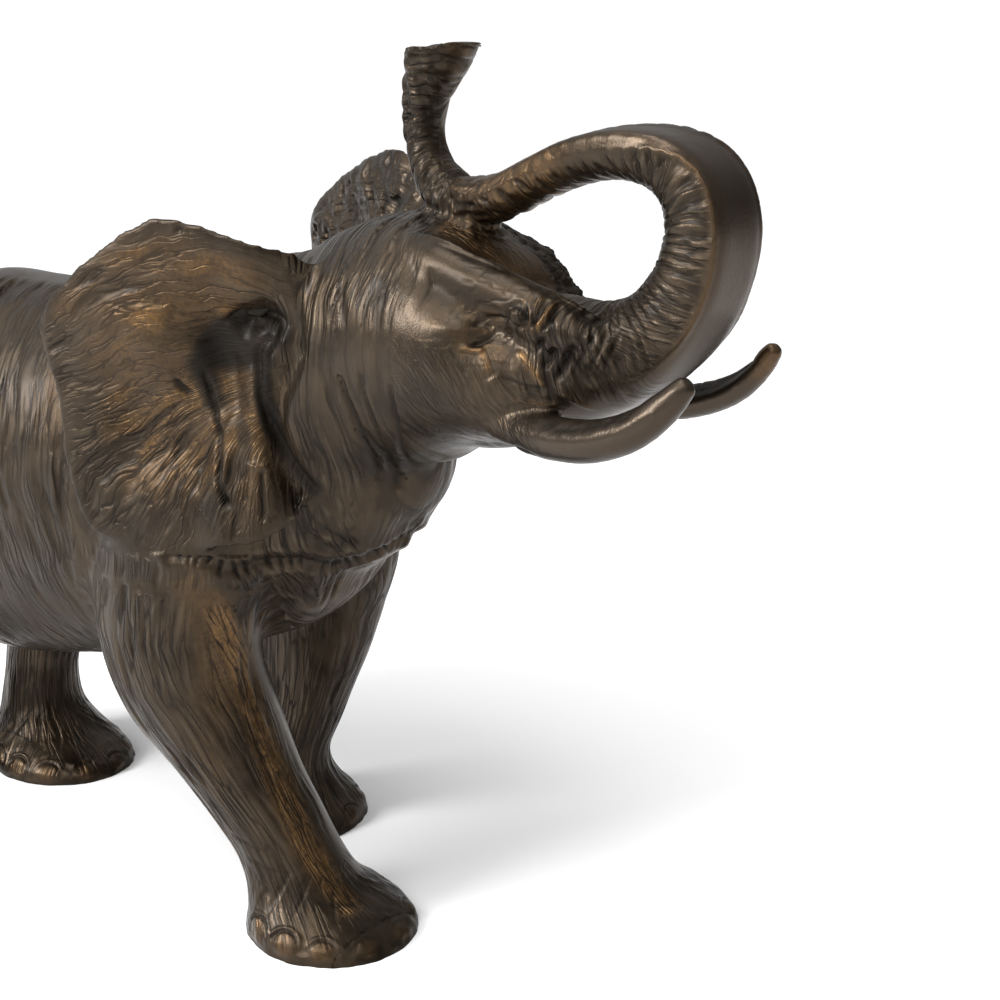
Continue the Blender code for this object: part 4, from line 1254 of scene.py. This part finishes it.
    def forms(self) -> list[bmesh.types.BMesh]:
        """Builds every rough form of the animal."""
        rows = tuple((f, 0, (top + low) / 2, w, (top - low) / 2) for f, top, low, w in self.torso)
        limbs = [Limb(rows, sides=40, blunt=0.28), Limb(self.neck, sides=36),
                 Limb(self.head, sides=36, pose=self.pose), self.trunk_limb(),
                 Limb(self.jaw, sides=20, pose=self.pose), Limb(self.tail, sides=18)]
        for side in Side:
            shift = self.tusk_far_shift if side is Side.LEFT else (0.0, 0.0)
            brow = self.brow_far if side is Side.LEFT else self.brow
            slim = self.tusk_far_slim if side is Side.LEFT else 1.0
            limbs.append(Limb(self.paired(self.tusk, side, shift, slim), sides=24, pose=self.pose))
            limbs.append(Limb(self.paired(brow, side), sides=18, pose=self.pose))
        for _, _, rows in self.legs():
            limbs.append(Limb(rows, round_ends=(True, False), ground=Ground.PLANTED))
        return [limb.build() for limb in limbs] + [self.near_ear.build(self.pose),
                                                   self.far_ear.build(self.pose)]

    def body_frame(self, mesh: bpy.types.Mesh, name: str) -> np.ndarray:
        """Reads a mesh's points or normals in the body frame."""
        values = np.empty(len(mesh.vertices) * 3)
        mesh.vertices.foreach_get(name, values)
        v = values.reshape(-1, 3)
        turned = np.stack((-v[:, 1], v[:, 0], v[:, 2]), axis=1)
        return turned / MM if name == "co" else turned

    def join(self) -> bpy.types.Object:
        """Joins the forms into one even skin and smooths it.

        Returns:
            The working object, about its unshifted middle.
        """
        mesh = bpy.data.meshes.new("elephant_form")
        whole = bmesh.new()
        for form in self.forms():
            part = bpy.data.meshes.new("form")
            form.to_mesh(part)
            form.free()
            whole.from_mesh(part)
            bpy.data.meshes.remove(part)
        whole.to_mesh(mesh)
        whole.free()
        body = bpy.data.objects.new("elephant_form", mesh)
        bpy.context.scene.collection.objects.link(body)
        skin = body.modifiers.new("union", "REMESH")
        skin.mode = "VOXEL"
        skin.voxel_size = self.voxel * MM
        skin.adaptivity = 0.0
        blend = body.modifiers.new("blend", "SMOOTH")
        blend.factor = 0.5
        blend.iterations = self.smooth_passes
        freeze(body)
        self.soften(body)
        self.sink(body)
        finer = body.modifiers.new("finer", "SUBSURF")
        finer.levels = finer.render_levels = 1
        freeze(body)
        return body

    def soften(self, body: bpy.types.Object) -> None:
        """Smooths the big masses further: torso, neck and the tops of the legs."""
        f, l, z = self.body_frame(body.data, "co").T
        big = np.clip((z - 55) / 30, 0, 1) * np.clip((70 - np.abs(f - 20)) / 12, 0, 1)
        big = np.maximum(big, np.clip((z - 55) / 30, 0, 1) * np.clip((-35 - f) / 15, 0, 1))
        ears = (np.abs(f - 15) < 66) & (z > 116) & (np.abs(l + 0.17 * (f - 30)) > 31)
        big = np.where(ears, 0.0, big)
        big = np.where((f > 62) & (z < 158), np.clip((100 - f) / 12, 0, 1), big)
        big = np.where((np.hypot(np.abs(l) * 0.6, f + 182) < 14) & (z < 170), 0.0, big)
        group = body.vertex_groups.new(name="masses")
        for level in range(1, 11):
            picked = np.flatnonzero(np.round(big * 10) == level)
            group.add(picked.tolist(), level / 10, "REPLACE")
        blend = body.modifiers.new("masses", "SMOOTH")
        blend.factor = 0.5
        blend.iterations = self.mass_passes
        blend.vertex_group = "masses"
        freeze(body)
        body.vertex_groups.clear()

    def sink(self, body: bpy.types.Object) -> None:
        """Sinks the deep hollows at the roots of both ears."""
        p, n = self.body_frame(body.data, "co"), self.body_frame(body.data, "normal")
        for side in Side:
            m = p * (1, side.value, 1)
            near = np.flatnonzero((m[:, 1] > 12) & (m[:, 0] > 5) & (m[:, 0] < 82) & (m[:, 2] > 130))
            push = np.zeros(len(near))
            for path, width, depth in self.ear_root_cuts:
                gap, _ = along(m[near], np.array(path, float))
                push -= depth * bell(gap, width)
            p[near] += n[near] * push[:, None]
        body.data.vertices.foreach_set("co", to_row(p, (0.0, 0.0)).ravel())
        body.data.update()

    def carve(self, body: bpy.types.Object) -> None:
        """Runs every carver over the skin, moves its points and stores the patina and painted shade values.
        """
        mesh = body.data
        skin = Skin(self.body_frame(mesh, "co"), self.body_frame(mesh, "normal"), self.pose)
        carvers = (
            TrunkCarving(self.trunk_limb()),
            FaceCarving(tusk=Limb(self.tusk), tusk_shift=self.tusk_far_shift,
                        tusk_slim=self.tusk_far_slim),
            EarCarving(self.near_ear, pits=((33.5, 50.6, 228.6, 1.8, 1.6), (37.2, 49.0, 228.0, 1.1, 1.0))),
            EarCarving(self.far_ear, rough=1.0),
            HideCarving(self.legs()),
            FeetCarving(),
        )
        for carver in carvers:
            carver.carve(skin)
            LOG.info("carved %s", type(carver).__name__)
        moved = skin.points + skin.normals * skin.push[:, None]
        moved[:, 2] = np.where(skin.points[:, 2] < 0.2, skin.points[:, 2], moved[:, 2])
        mesh.vertices.foreach_set("co", to_row(moved, self.middle).ravel())
        # Rubbed gold fades where painted shade lies.
        gold = skin.gold * (1 - np.clip(skin.shade, 0, 1)) ** self.gold_fade
        for name, values in (("gold", gold), ("shade", skin.shade), ("smooth", skin.smooth),
                             ("stroke", skin.stroke)):
            layer = mesh.attributes.new(name, "FLOAT", "POINT")
            layer.data.foreach_set("value", np.clip(values, 0, 1).astype(np.float32))
        layer = mesh.attributes.new("way", "FLOAT_VECTOR", "POINT")
        layer.data.foreach_set("vector", skin.way.astype(np.float32).ravel())
        mesh.update()

    def cut(self, body: bpy.types.Object, portion: Portion) -> bpy.types.Object:
        """Takes one portion off the casting.

        Args:
            body: The whole carved skin.
            portion: What to keep.

        Returns:
            A closed mesh object at the origin.
        """
        p = self.body_frame(body.data, "co")
        p = p + (-self.middle[1], self.middle[0], 0.0)
        keep = p[:, 2] > -1.5
        for at, way in portion.planes:
            keep &= (p - at) @ np.array(way) > -self.cut_margin - self.overlap
        piece = bpy.data.objects.new(portion.name, body.data.copy())
        bpy.context.scene.collection.objects.link(piece)
        group = piece.vertex_groups.new(name="kept")
        group.add(np.flatnonzero(keep).tolist(), 1.0, "REPLACE")
        mask = piece.modifiers.new("kept", "MASK")
        mask.vertex_group = "kept"
        freeze(piece)
        piece.vertex_groups.clear()
        bm = bmesh.new()
        bm.from_mesh(piece.data)
        for at, way in portion.planes:
            spot = np.array(at) - np.array(way) * self.overlap
            self.slice(bm, to_row(spot[None, :], self.middle)[0], (way[1], -way[0], way[2]))
        bottom = bmesh.ops.bisect_plane(bm, geom=bm.verts[:] + bm.edges[:] + bm.faces[:], dist=1e-6,
                                        plane_co=(0, 0, 0), plane_no=(0, 0, 1), clear_inner=True)
        ground = [e for e in bottom["geom_cut"] if isinstance(e, bmesh.types.BMEdge)]
        bmesh.ops.holes_fill(bm, edges=ground, sides=0)
        bm.to_mesh(piece.data)
        bm.free()
        count = sum(len(f.vertices) - 2 for f in piece.data.polygons)
        thin = piece.modifiers.new("thin", "DECIMATE")
        thin.ratio = min(1.0, self.triangles / count)
        freeze(piece)
        self.close(piece.data)
        return piece

    @staticmethod
    def slice(bm: bmesh.types.BMesh, spot: np.ndarray, way: Row) -> None:
        """Cuts away what lies behind a plane and leaves the cut open."""
        bmesh.ops.bisect_plane(bm, geom=bm.verts[:] + bm.edges[:] + bm.faces[:], dist=1e-6,
                               plane_co=tuple(spot), plane_no=way, clear_inner=True)

    @staticmethod
    def close(mesh: bpy.types.Mesh) -> None:
        """Closes the cuts with flat faces whose rims stay sharp, so that they don't show."""
        bm = bmesh.new()
        bm.from_mesh(mesh)
        rims = [e for e in bm.edges if e.is_boundary]
        for face in bm.faces:
            face.smooth = True
        for e in rims:
            e.smooth = False
        made = bmesh.ops.holes_fill(bm, edges=rims, sides=0)["faces"]
        bmesh.ops.triangulate(bm, faces=made)
        bm.to_mesh(mesh)
        bm.free()


def freeze(obj: bpy.types.Object) -> None:
    """Replaces an object's mesh by what its modifiers make of it."""
    graph = bpy.context.evaluated_depsgraph_get()
    old = obj.data
    made = bpy.data.meshes.new_from_object(obj.evaluated_get(graph))
    obj.modifiers.clear()
    obj.data = made
    bpy.data.meshes.remove(old)


class NodeKit:
    """Small helper that adds and links nodes in one tree."""

    def __init__(self, tree: bpy.types.NodeTree) -> None:
        """Keeps the tree."""
        self.tree = tree

    def add(self, kind: str, **values: object) -> bpy.types.Node:
        """Adds a node and sets its named properties."""
        node = self.tree.nodes.new(kind)
        for name, value in values.items():
            setattr(node, name, value)
        return node

    def link(self, start: bpy.types.NodeSocket, end: bpy.types.NodeSocket) -> None:
        """Links two sockets."""
        self.tree.links.new(start, end)

    def math(self, how: str, a: object, b: object, c: object = 0.5) -> bpy.types.NodeSocket:
        """Adds a clamped math node on sockets or plain numbers; only MULTIPLY_ADD uses the third."""
        node = self.add("ShaderNodeMath", operation=how, use_clamp=True)
        for socket, value in zip(node.inputs, (a, b, c)):
            if isinstance(value, bpy.types.NodeSocket):
                self.link(value, socket)
            else:
                socket.default_value = value
        return node.outputs[0]

    def mix(self, factor: bpy.types.NodeSocket, a: object, b: object) -> bpy.types.NodeSocket:
        """Mixes two colours, each a socket or a plain colour."""
        node = self.add("ShaderNodeMix", data_type="RGBA")
        self.link(factor, node.inputs["Factor"])
        for socket, value in zip((node.inputs[6], node.inputs[7]), (a, b)):
            if isinstance(value, bpy.types.NodeSocket):
                self.link(value, socket)
            else:
                socket.default_value = value
        return node.outputs[2]


class PatinaGroups:
    """The effects that every bronze finish shares, each built once as a node group."""

    def __init__(self) -> None:
        """Builds the groups."""
        self.mottle = self.build_mottle()
        self.grain = self.build_grain()
        self.strokes = self.build_strokes()

    @staticmethod
    def start(name: str, outputs: tuple[str, ...]) -> tuple[NodeKit, object, object]:
        """Starts a group with a Vector and a Size input and the named outputs."""
        tree = bpy.data.node_groups.new(name, "ShaderNodeTree")
        tree.interface.new_socket("Vector", in_out="INPUT", socket_type="NodeSocketVector")
        size = tree.interface.new_socket("Size", in_out="INPUT", socket_type="NodeSocketFloat")
        size.default_value = 1.0
        for out in outputs:
            tree.interface.new_socket(out, in_out="OUTPUT", socket_type="NodeSocketFloat")
        kit = NodeKit(tree)
        return kit, kit.add("NodeGroupInput"), kit.add("NodeGroupOutput")

    def build_mottle(self) -> bpy.types.NodeTree:
        """Patches of thicker and thinner patina, and fine rubbed specks."""
        kit, given, out = self.start("patina_mottle", ("Patches", "Specks"))
        sized = kit.add("ShaderNodeVectorMath", operation="SCALE")
        kit.link(given.outputs["Vector"], sized.inputs[0])
        kit.link(given.outputs["Size"], sized.inputs["Scale"])
        for socket, scale, detail, low, high in (("Patches", 45.0, 5.0, 0.40, 0.62),
                                                 ("Specks", 620.0, 4.0, 0.42, 0.64)):
            noise = kit.add("ShaderNodeTexNoise")
            noise.inputs["Scale"].default_value = scale
            noise.inputs["Detail"].default_value = detail
            noise.inputs["Roughness"].default_value = 0.62
            kit.link(sized.outputs[0], noise.inputs["Vector"])
            ramp = kit.add("ShaderNodeMapRange", clamp=True)
            ramp.inputs["From Min"].default_value = low
            ramp.inputs["From Max"].default_value = high
            kit.link(noise.outputs["Fac"], ramp.inputs["Value"])
            kit.link(ramp.outputs["Result"], out.inputs[socket])
        return kit.tree

    def build_grain(self) -> bpy.types.NodeTree:
        """Fine cast grain and faint scratches, as a height."""
        kit, given, out = self.start("casting_grain", ("Height",))
        sized = kit.add("ShaderNodeVectorMath", operation="SCALE")
        kit.link(given.outputs["Vector"], sized.inputs[0])
        kit.link(given.outputs["Size"], sized.inputs["Scale"])
        grain = kit.add("ShaderNodeTexNoise")
        grain.inputs["Scale"].default_value = 1500.0
        grain.inputs["Detail"].default_value = 3.0
        kit.link(sized.outputs[0], grain.inputs["Vector"])
        long = kit.add("ShaderNodeMapping")
        long.inputs["Scale"].default_value = (1.0, 1.0, 0.12)
        kit.link(sized.outputs[0], long.inputs["Vector"])
        scratch = kit.add("ShaderNodeTexNoise")
        scratch.inputs["Scale"].default_value = 1100.0
        scratch.inputs["Detail"].default_value = 2.0
        kit.link(long.outputs["Vector"], scratch.inputs["Vector"])
        total = kit.add("ShaderNodeMath", operation="ADD")
        kit.link(grain.outputs["Fac"], total.inputs[0])
        kit.link(scratch.outputs["Fac"], total.inputs[1])
        kit.link(total.outputs[0], out.inputs["Height"])
        return kit.tree

    def build_strokes(self) -> bpy.types.NodeTree:
        """Short pointed gouges of a modelling tool, one unit wide and long in the given space."""
        kit, given, out = self.start("tool_strokes", ("Cuts", "Crests", "Height"))
        sized = kit.add("ShaderNodeVectorMath", operation="SCALE")
        kit.link(given.outputs["Vector"], sized.inputs[0])
        kit.link(given.outputs["Size"], sized.inputs["Scale"])
        sway = kit.add("ShaderNodeTexNoise")
        sway.inputs["Scale"].default_value = 0.55
        sway.inputs["Detail"].default_value = 2.0
        kit.link(sized.outputs[0], sway.inputs["Vector"])
        centred = kit.add("ShaderNodeVectorMath", operation="SUBTRACT")
        centred.inputs[1].default_value = (0.5, 0.5, 0.5)
        kit.link(sway.outputs["Color"], centred.inputs[0])
        eased = kit.add("ShaderNodeVectorMath", operation="SCALE")
        eased.inputs["Scale"].default_value = 1.1
        kit.link(centred.outputs[0], eased.inputs[0])
        bent = kit.add("ShaderNodeVectorMath", operation="ADD")
        kit.link(sized.outputs[0], bent.inputs[0])
        kit.link(eased.outputs[0], bent.inputs[1])
        cells = kit.add("ShaderNodeTexVoronoi", feature="DISTANCE_TO_EDGE")
        cells.inputs["Scale"].default_value = 1.0
        cells.inputs["Randomness"].default_value = 0.9
        kit.link(bent.outputs[0], cells.inputs["Vector"])
        breaks = kit.add("ShaderNodeTexNoise")
        breaks.inputs["Scale"].default_value = 0.9
        breaks.inputs["Detail"].default_value = 2.0
        kit.link(sized.outputs[0], breaks.inputs["Vector"])
        found = []
        depth, fibre = cells.outputs["Distance"], breaks.outputs["Fac"]
        for mark, start, end in ((depth, 0.11, 0.02), (fibre, 0.36, 0.56), (depth, 0.16, 0.36),
                                 (depth, 0.0, 0.32)):
            ramp = kit.add("ShaderNodeMapRange", clamp=True, interpolation_type="SMOOTHSTEP")
            ramp.inputs["From Min"].default_value = start
            ramp.inputs["From Max"].default_value = end
            kit.link(mark, ramp.inputs["Value"])
            found.append(ramp.outputs["Result"])
        gouges, broken, crests, rounded = found
        cuts = kit.math("MULTIPLY", gouges, broken)
        kit.link(cuts, out.inputs["Cuts"])
        kit.link(crests, out.inputs["Crests"])
        raised = kit.math("MULTIPLY_ADD", kit.math("MULTIPLY", rounded, broken), 0.5, 0.5)
        kit.link(kit.math("SUBTRACT", raised, kit.math("MULTIPLY", cuts, 0.4)), out.inputs["Height"])
        return kit.tree


@dataclass(frozen=True)
class BronzeFinish:
    """Dark brown patina on bronze, rubbed golden where raised, with painted shade in cuts and hollows."""

    name: str
    dark: Row = (0.023, 0.0152, 0.0085, 1.0)
    brown: Row = (0.045, 0.0305, 0.0178, 1.0)
    gold: Row = (0.145, 0.076, 0.0245, 1.0)
    # Light colour on the stroke crests: partly rubbed wear, partly a painted highlight.
    wear_and_sheen: Row = (0.150, 0.120, 0.085, 1.0)
    # Colour of the painted shade in cuts, creases and hollows.
    deep: Row = (0.008, 0.0055, 0.0035, 1.0)
    smooth_tone: Row = (0.044, 0.0315, 0.0210, 1.0)
    metallic: float = 0.86
    roughness: Row = (0.28, 0.42)
    # Shares of painted shade from the shade values and from the stroke cuts.
    shade_share: float = 0.92
    cut_share: float = 0.8
    crest_share: float = 0.2
    cut_dullness: float = 0.4
    grain: float = 0.2
    grain_depth: float = 0.0003
    grain_size: float = 1.0
    stroke_depth: float = 0.0006
    wax: float = 0.1
    wax_roughness: float = 0.3

    def material(self, groups: PatinaGroups) -> bpy.types.Material:
        """Builds the material on Object coordinates and the piece's patina and painted shade values.

        Args:
            groups: The shared effects.

        Returns:
            The finished material.
        """
        mat = bpy.data.materials.new(self.name)
        mat.use_nodes = True
        kit = NodeKit(mat.node_tree)
        shader = mat.node_tree.nodes["Principled BSDF"]
        shader.inputs["Metallic"].default_value = self.metallic
        shader.inputs["Coat Weight"].default_value = self.wax
        shader.inputs["Coat Roughness"].default_value = self.wax_roughness
        where = kit.add("ShaderNodeTexCoord").outputs["Object"]
        value = {n: kit.add("ShaderNodeAttribute", attribute_name=n).outputs["Fac"]
                 for n in ("gold", "shade", "smooth", "stroke")}
        way = kit.add("ShaderNodeAttribute", attribute_name="way").outputs["Vector"]
        mottle = kit.add("ShaderNodeGroup", node_tree=groups.mottle)
        grain = kit.add("ShaderNodeGroup", node_tree=groups.grain)
        strokes = kit.add("ShaderNodeGroup", node_tree=groups.strokes)
        grain.inputs["Size"].default_value = self.grain_size
        kit.link(where, mottle.inputs["Vector"])
        kit.link(where, grain.inputs["Vector"])
        kit.link(way, strokes.inputs["Vector"])
        patches, specks = mottle.outputs["Patches"], mottle.outputs["Specks"]
        cuts = kit.math("MULTIPLY", strokes.outputs["Cuts"], value["stroke"])
        crests = kit.math("MULTIPLY", strokes.outputs["Crests"], value["stroke"])
        base = kit.mix(patches, self.dark, self.brown)
        base = kit.mix(value["smooth"], base, self.smooth_tone)
        # Stroke crests lightened: partly rubbed wear, partly a painted highlight.
        base = kit.mix(kit.math("MULTIPLY", crests, self.crest_share), base, self.wear_and_sheen)
        rubbed = kit.math("MULTIPLY", value["gold"], kit.math("MULTIPLY_ADD", specks, 0.75, 0.5))
        base = kit.mix(rubbed, base, self.gold)
        # Painted shade from the shade values and the stroke cuts, mixed towards the deep colour.
        shaded = kit.math("MULTIPLY", value["shade"], self.shade_share)
        dark = kit.math("MAXIMUM", shaded, kit.math("MULTIPLY", cuts, self.cut_share))
        base = kit.mix(dark, base, self.deep)
        kit.link(base, shader.inputs["Base Color"])
        rough = kit.add("ShaderNodeMapRange", clamp=True)
        rough.inputs["To Min"].default_value, rough.inputs["To Max"].default_value = self.roughness
        kit.link(patches, rough.inputs["Value"])
        dull = kit.math("MULTIPLY", dark, self.cut_dullness)
        kit.link(kit.math("ADD", rough.outputs["Result"], dull), shader.inputs["Roughness"])
        carved = kit.add("ShaderNodeBump")
        carved.inputs["Distance"].default_value = self.stroke_depth
        kit.link(value["stroke"], carved.inputs["Strength"])
        kit.link(strokes.outputs["Height"], carved.inputs["Height"])
        bump = kit.add("ShaderNodeBump")
        bump.inputs["Strength"].default_value = self.grain
        bump.inputs["Distance"].default_value = self.grain_depth
        kit.link(grain.outputs["Height"], bump.inputs["Height"])
        kit.link(carved.outputs["Normal"], bump.inputs["Normal"])
        kit.link(bump.outputs["Normal"], shader.inputs["Normal"])
        return mat


@dataclass(frozen=True)
class Studio:
    """Pale floor, soft light from above and the left, and the camera at the photograph's angle."""

    lens: float = 55.8
    eye: Row = (342.0, -393.9, 276.0)
    turn: float = 31.0
    dip: float = 15.8
    floor_size: float = 9.0
    floor_tone: Row = (0.93, 0.93, 0.935, 1.0)
    sky: Row = (0.15, 1.02)
    sky_way: Row = (-0.5, 0.45, 0.74)
    sky_span: Row = (-0.45, 0.9)
    backdrop: float = 1.05
    aim_height: float = 0.14
    key: float = 1.5
    key_from: Row = (-0.62, 0.10, 0.86)
    key_width: float = 50.0
    boxes: tuple[tuple[str, Row, float, float], ...] = (
        ("overhead", (-0.15, 0.15, 1.3), 0.5, 4.0), ("left_box", (-1.0, 0.78, 0.80), 0.5, 21.0),
    )

    def build(self, middle: Row) -> None:
        """Adds the floor, the lights and the camera."""
        bpy.context.scene.view_settings.view_transform = "Standard"
        self.floor()
        self.lights()
        self.camera(middle)

    def floor(self) -> None:
        """Lays a wide round floor."""
        bm = bmesh.new()
        bmesh.ops.create_circle(bm, cap_ends=True, segments=96, radius=self.floor_size)
        mesh = bpy.data.meshes.new("floor")
        bm.to_mesh(mesh)
        bm.free()
        floor = bpy.data.objects.new("floor", mesh)
        bpy.context.scene.collection.objects.link(floor)
        mat = bpy.data.materials.new("pale_floor")
        mat.use_nodes = True
        shader = mat.node_tree.nodes["Principled BSDF"]
        shader.inputs["Base Color"].default_value = self.floor_tone
        shader.inputs["Roughness"].default_value = 0.75
        shader.inputs["Specular IOR Level"].default_value = 0.2
        mesh.materials.append(mat)

    def lights(self) -> None:
        """Hangs the soft key light and the overhead one, and sets the white surroundings."""
        world = bpy.data.worlds.new("studio")
        bpy.context.scene.world = world
        world.use_nodes = True
        kit = NodeKit(world.node_tree)
        back = world.node_tree.nodes["Background"]
        back.inputs["Color"].default_value = (1.0, 1.0, 1.0, 1.0)
        seen = kit.add("ShaderNodeLightPath").outputs["Is Camera Ray"]
        lean = kit.add("ShaderNodeVectorMath", operation="DOT_PRODUCT")
        lean.inputs[1].default_value = self.sky_way
        kit.link(kit.add("ShaderNodeTexCoord").outputs["Generated"], lean.inputs[0])
        glow = kit.add("ShaderNodeMapRange", clamp=True)
        glow.inputs["From Min"].default_value, glow.inputs["From Max"].default_value = self.sky_span
        glow.inputs["To Min"].default_value, glow.inputs["To Max"].default_value = self.sky
        kit.link(lean.outputs["Value"], glow.inputs["Value"])
        level = kit.add("ShaderNodeMapRange")
        kit.link(glow.outputs["Result"], level.inputs["To Min"])
        level.inputs["To Max"].default_value = self.backdrop
        kit.link(seen, level.inputs["Value"])
        kit.link(level.outputs["Result"], back.inputs["Strength"])
        key = bpy.data.lights.new("key", "SUN")
        key.energy = self.key
        key.angle = radians(self.key_width)
        self.hang(key, self.key_from, 0.0)
        for name, spot, size, power in self.boxes:
            box = bpy.data.lights.new(name, "AREA")
            box.shape = "DISK"
            box.size = size
            box.energy = power
            self.hang(box, spot, self.aim_height)

    @staticmethod
    def hang(light: bpy.types.Light, spot: Row, aim_height: float) -> None:
        """Puts a light at a spot and aims it at the figurine."""
        lamp = bpy.data.objects.new(light.name, light)
        bpy.context.scene.collection.objects.link(lamp)
        lamp.location = spot
        aim = Vector((0.0, 0.0, aim_height)) - Vector(spot)
        lamp.rotation_euler = aim.to_track_quat("-Z", "Y").to_euler()

    def camera(self, middle: Row) -> None:
        """Sets the camera where the photograph was taken from."""
        data = bpy.data.cameras.new("camera")
        data.lens = self.lens
        data.sensor_width = 36.0
        data.clip_start = 0.01
        cam = bpy.data.objects.new("camera", data)
        bpy.context.scene.collection.objects.link(cam)
        cam.location = to_row(np.array([self.eye]), middle)[0]
        a, p = radians(self.turn), radians(self.dip)
        aim = Vector((cos(a) * cos(p), sin(a) * cos(p), -sin(p)))
        cam.rotation_euler = aim.to_track_quat("-Z", "Y").to_euler()
        bpy.context.scene.camera = cam


def main() -> None:
    """Builds the figurine round the frame, dresses it and lights it."""
    logging.basicConfig(level=logging.INFO, format="%(message)s")
    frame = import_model()
    LOG.info("frame %s", sorted(frame["nodes"]))
    casting = Casting()
    body = casting.join()
    LOG.info("joined skin: %d points", len(body.data.vertices))
    casting.carve(body)
    groups = PatinaGroups()
    for portion in casting.portions:
        piece = casting.cut(body, portion)
        piece.data.materials.clear()
        piece.data.materials.append(BronzeFinish("bronze_" + portion.name).material(groups))
        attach(piece, "root")
        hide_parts("elephant")
        LOG.info("piece %s: %d triangles", portion.name,
                 sum(len(f.vertices) - 2 for f in piece.data.polygons))
    form = body.data
    bpy.data.objects.remove(body, do_unlink=True)
    bpy.data.meshes.remove(form)
    Studio().build(casting.middle)


if __name__ == "__main__":
    main()
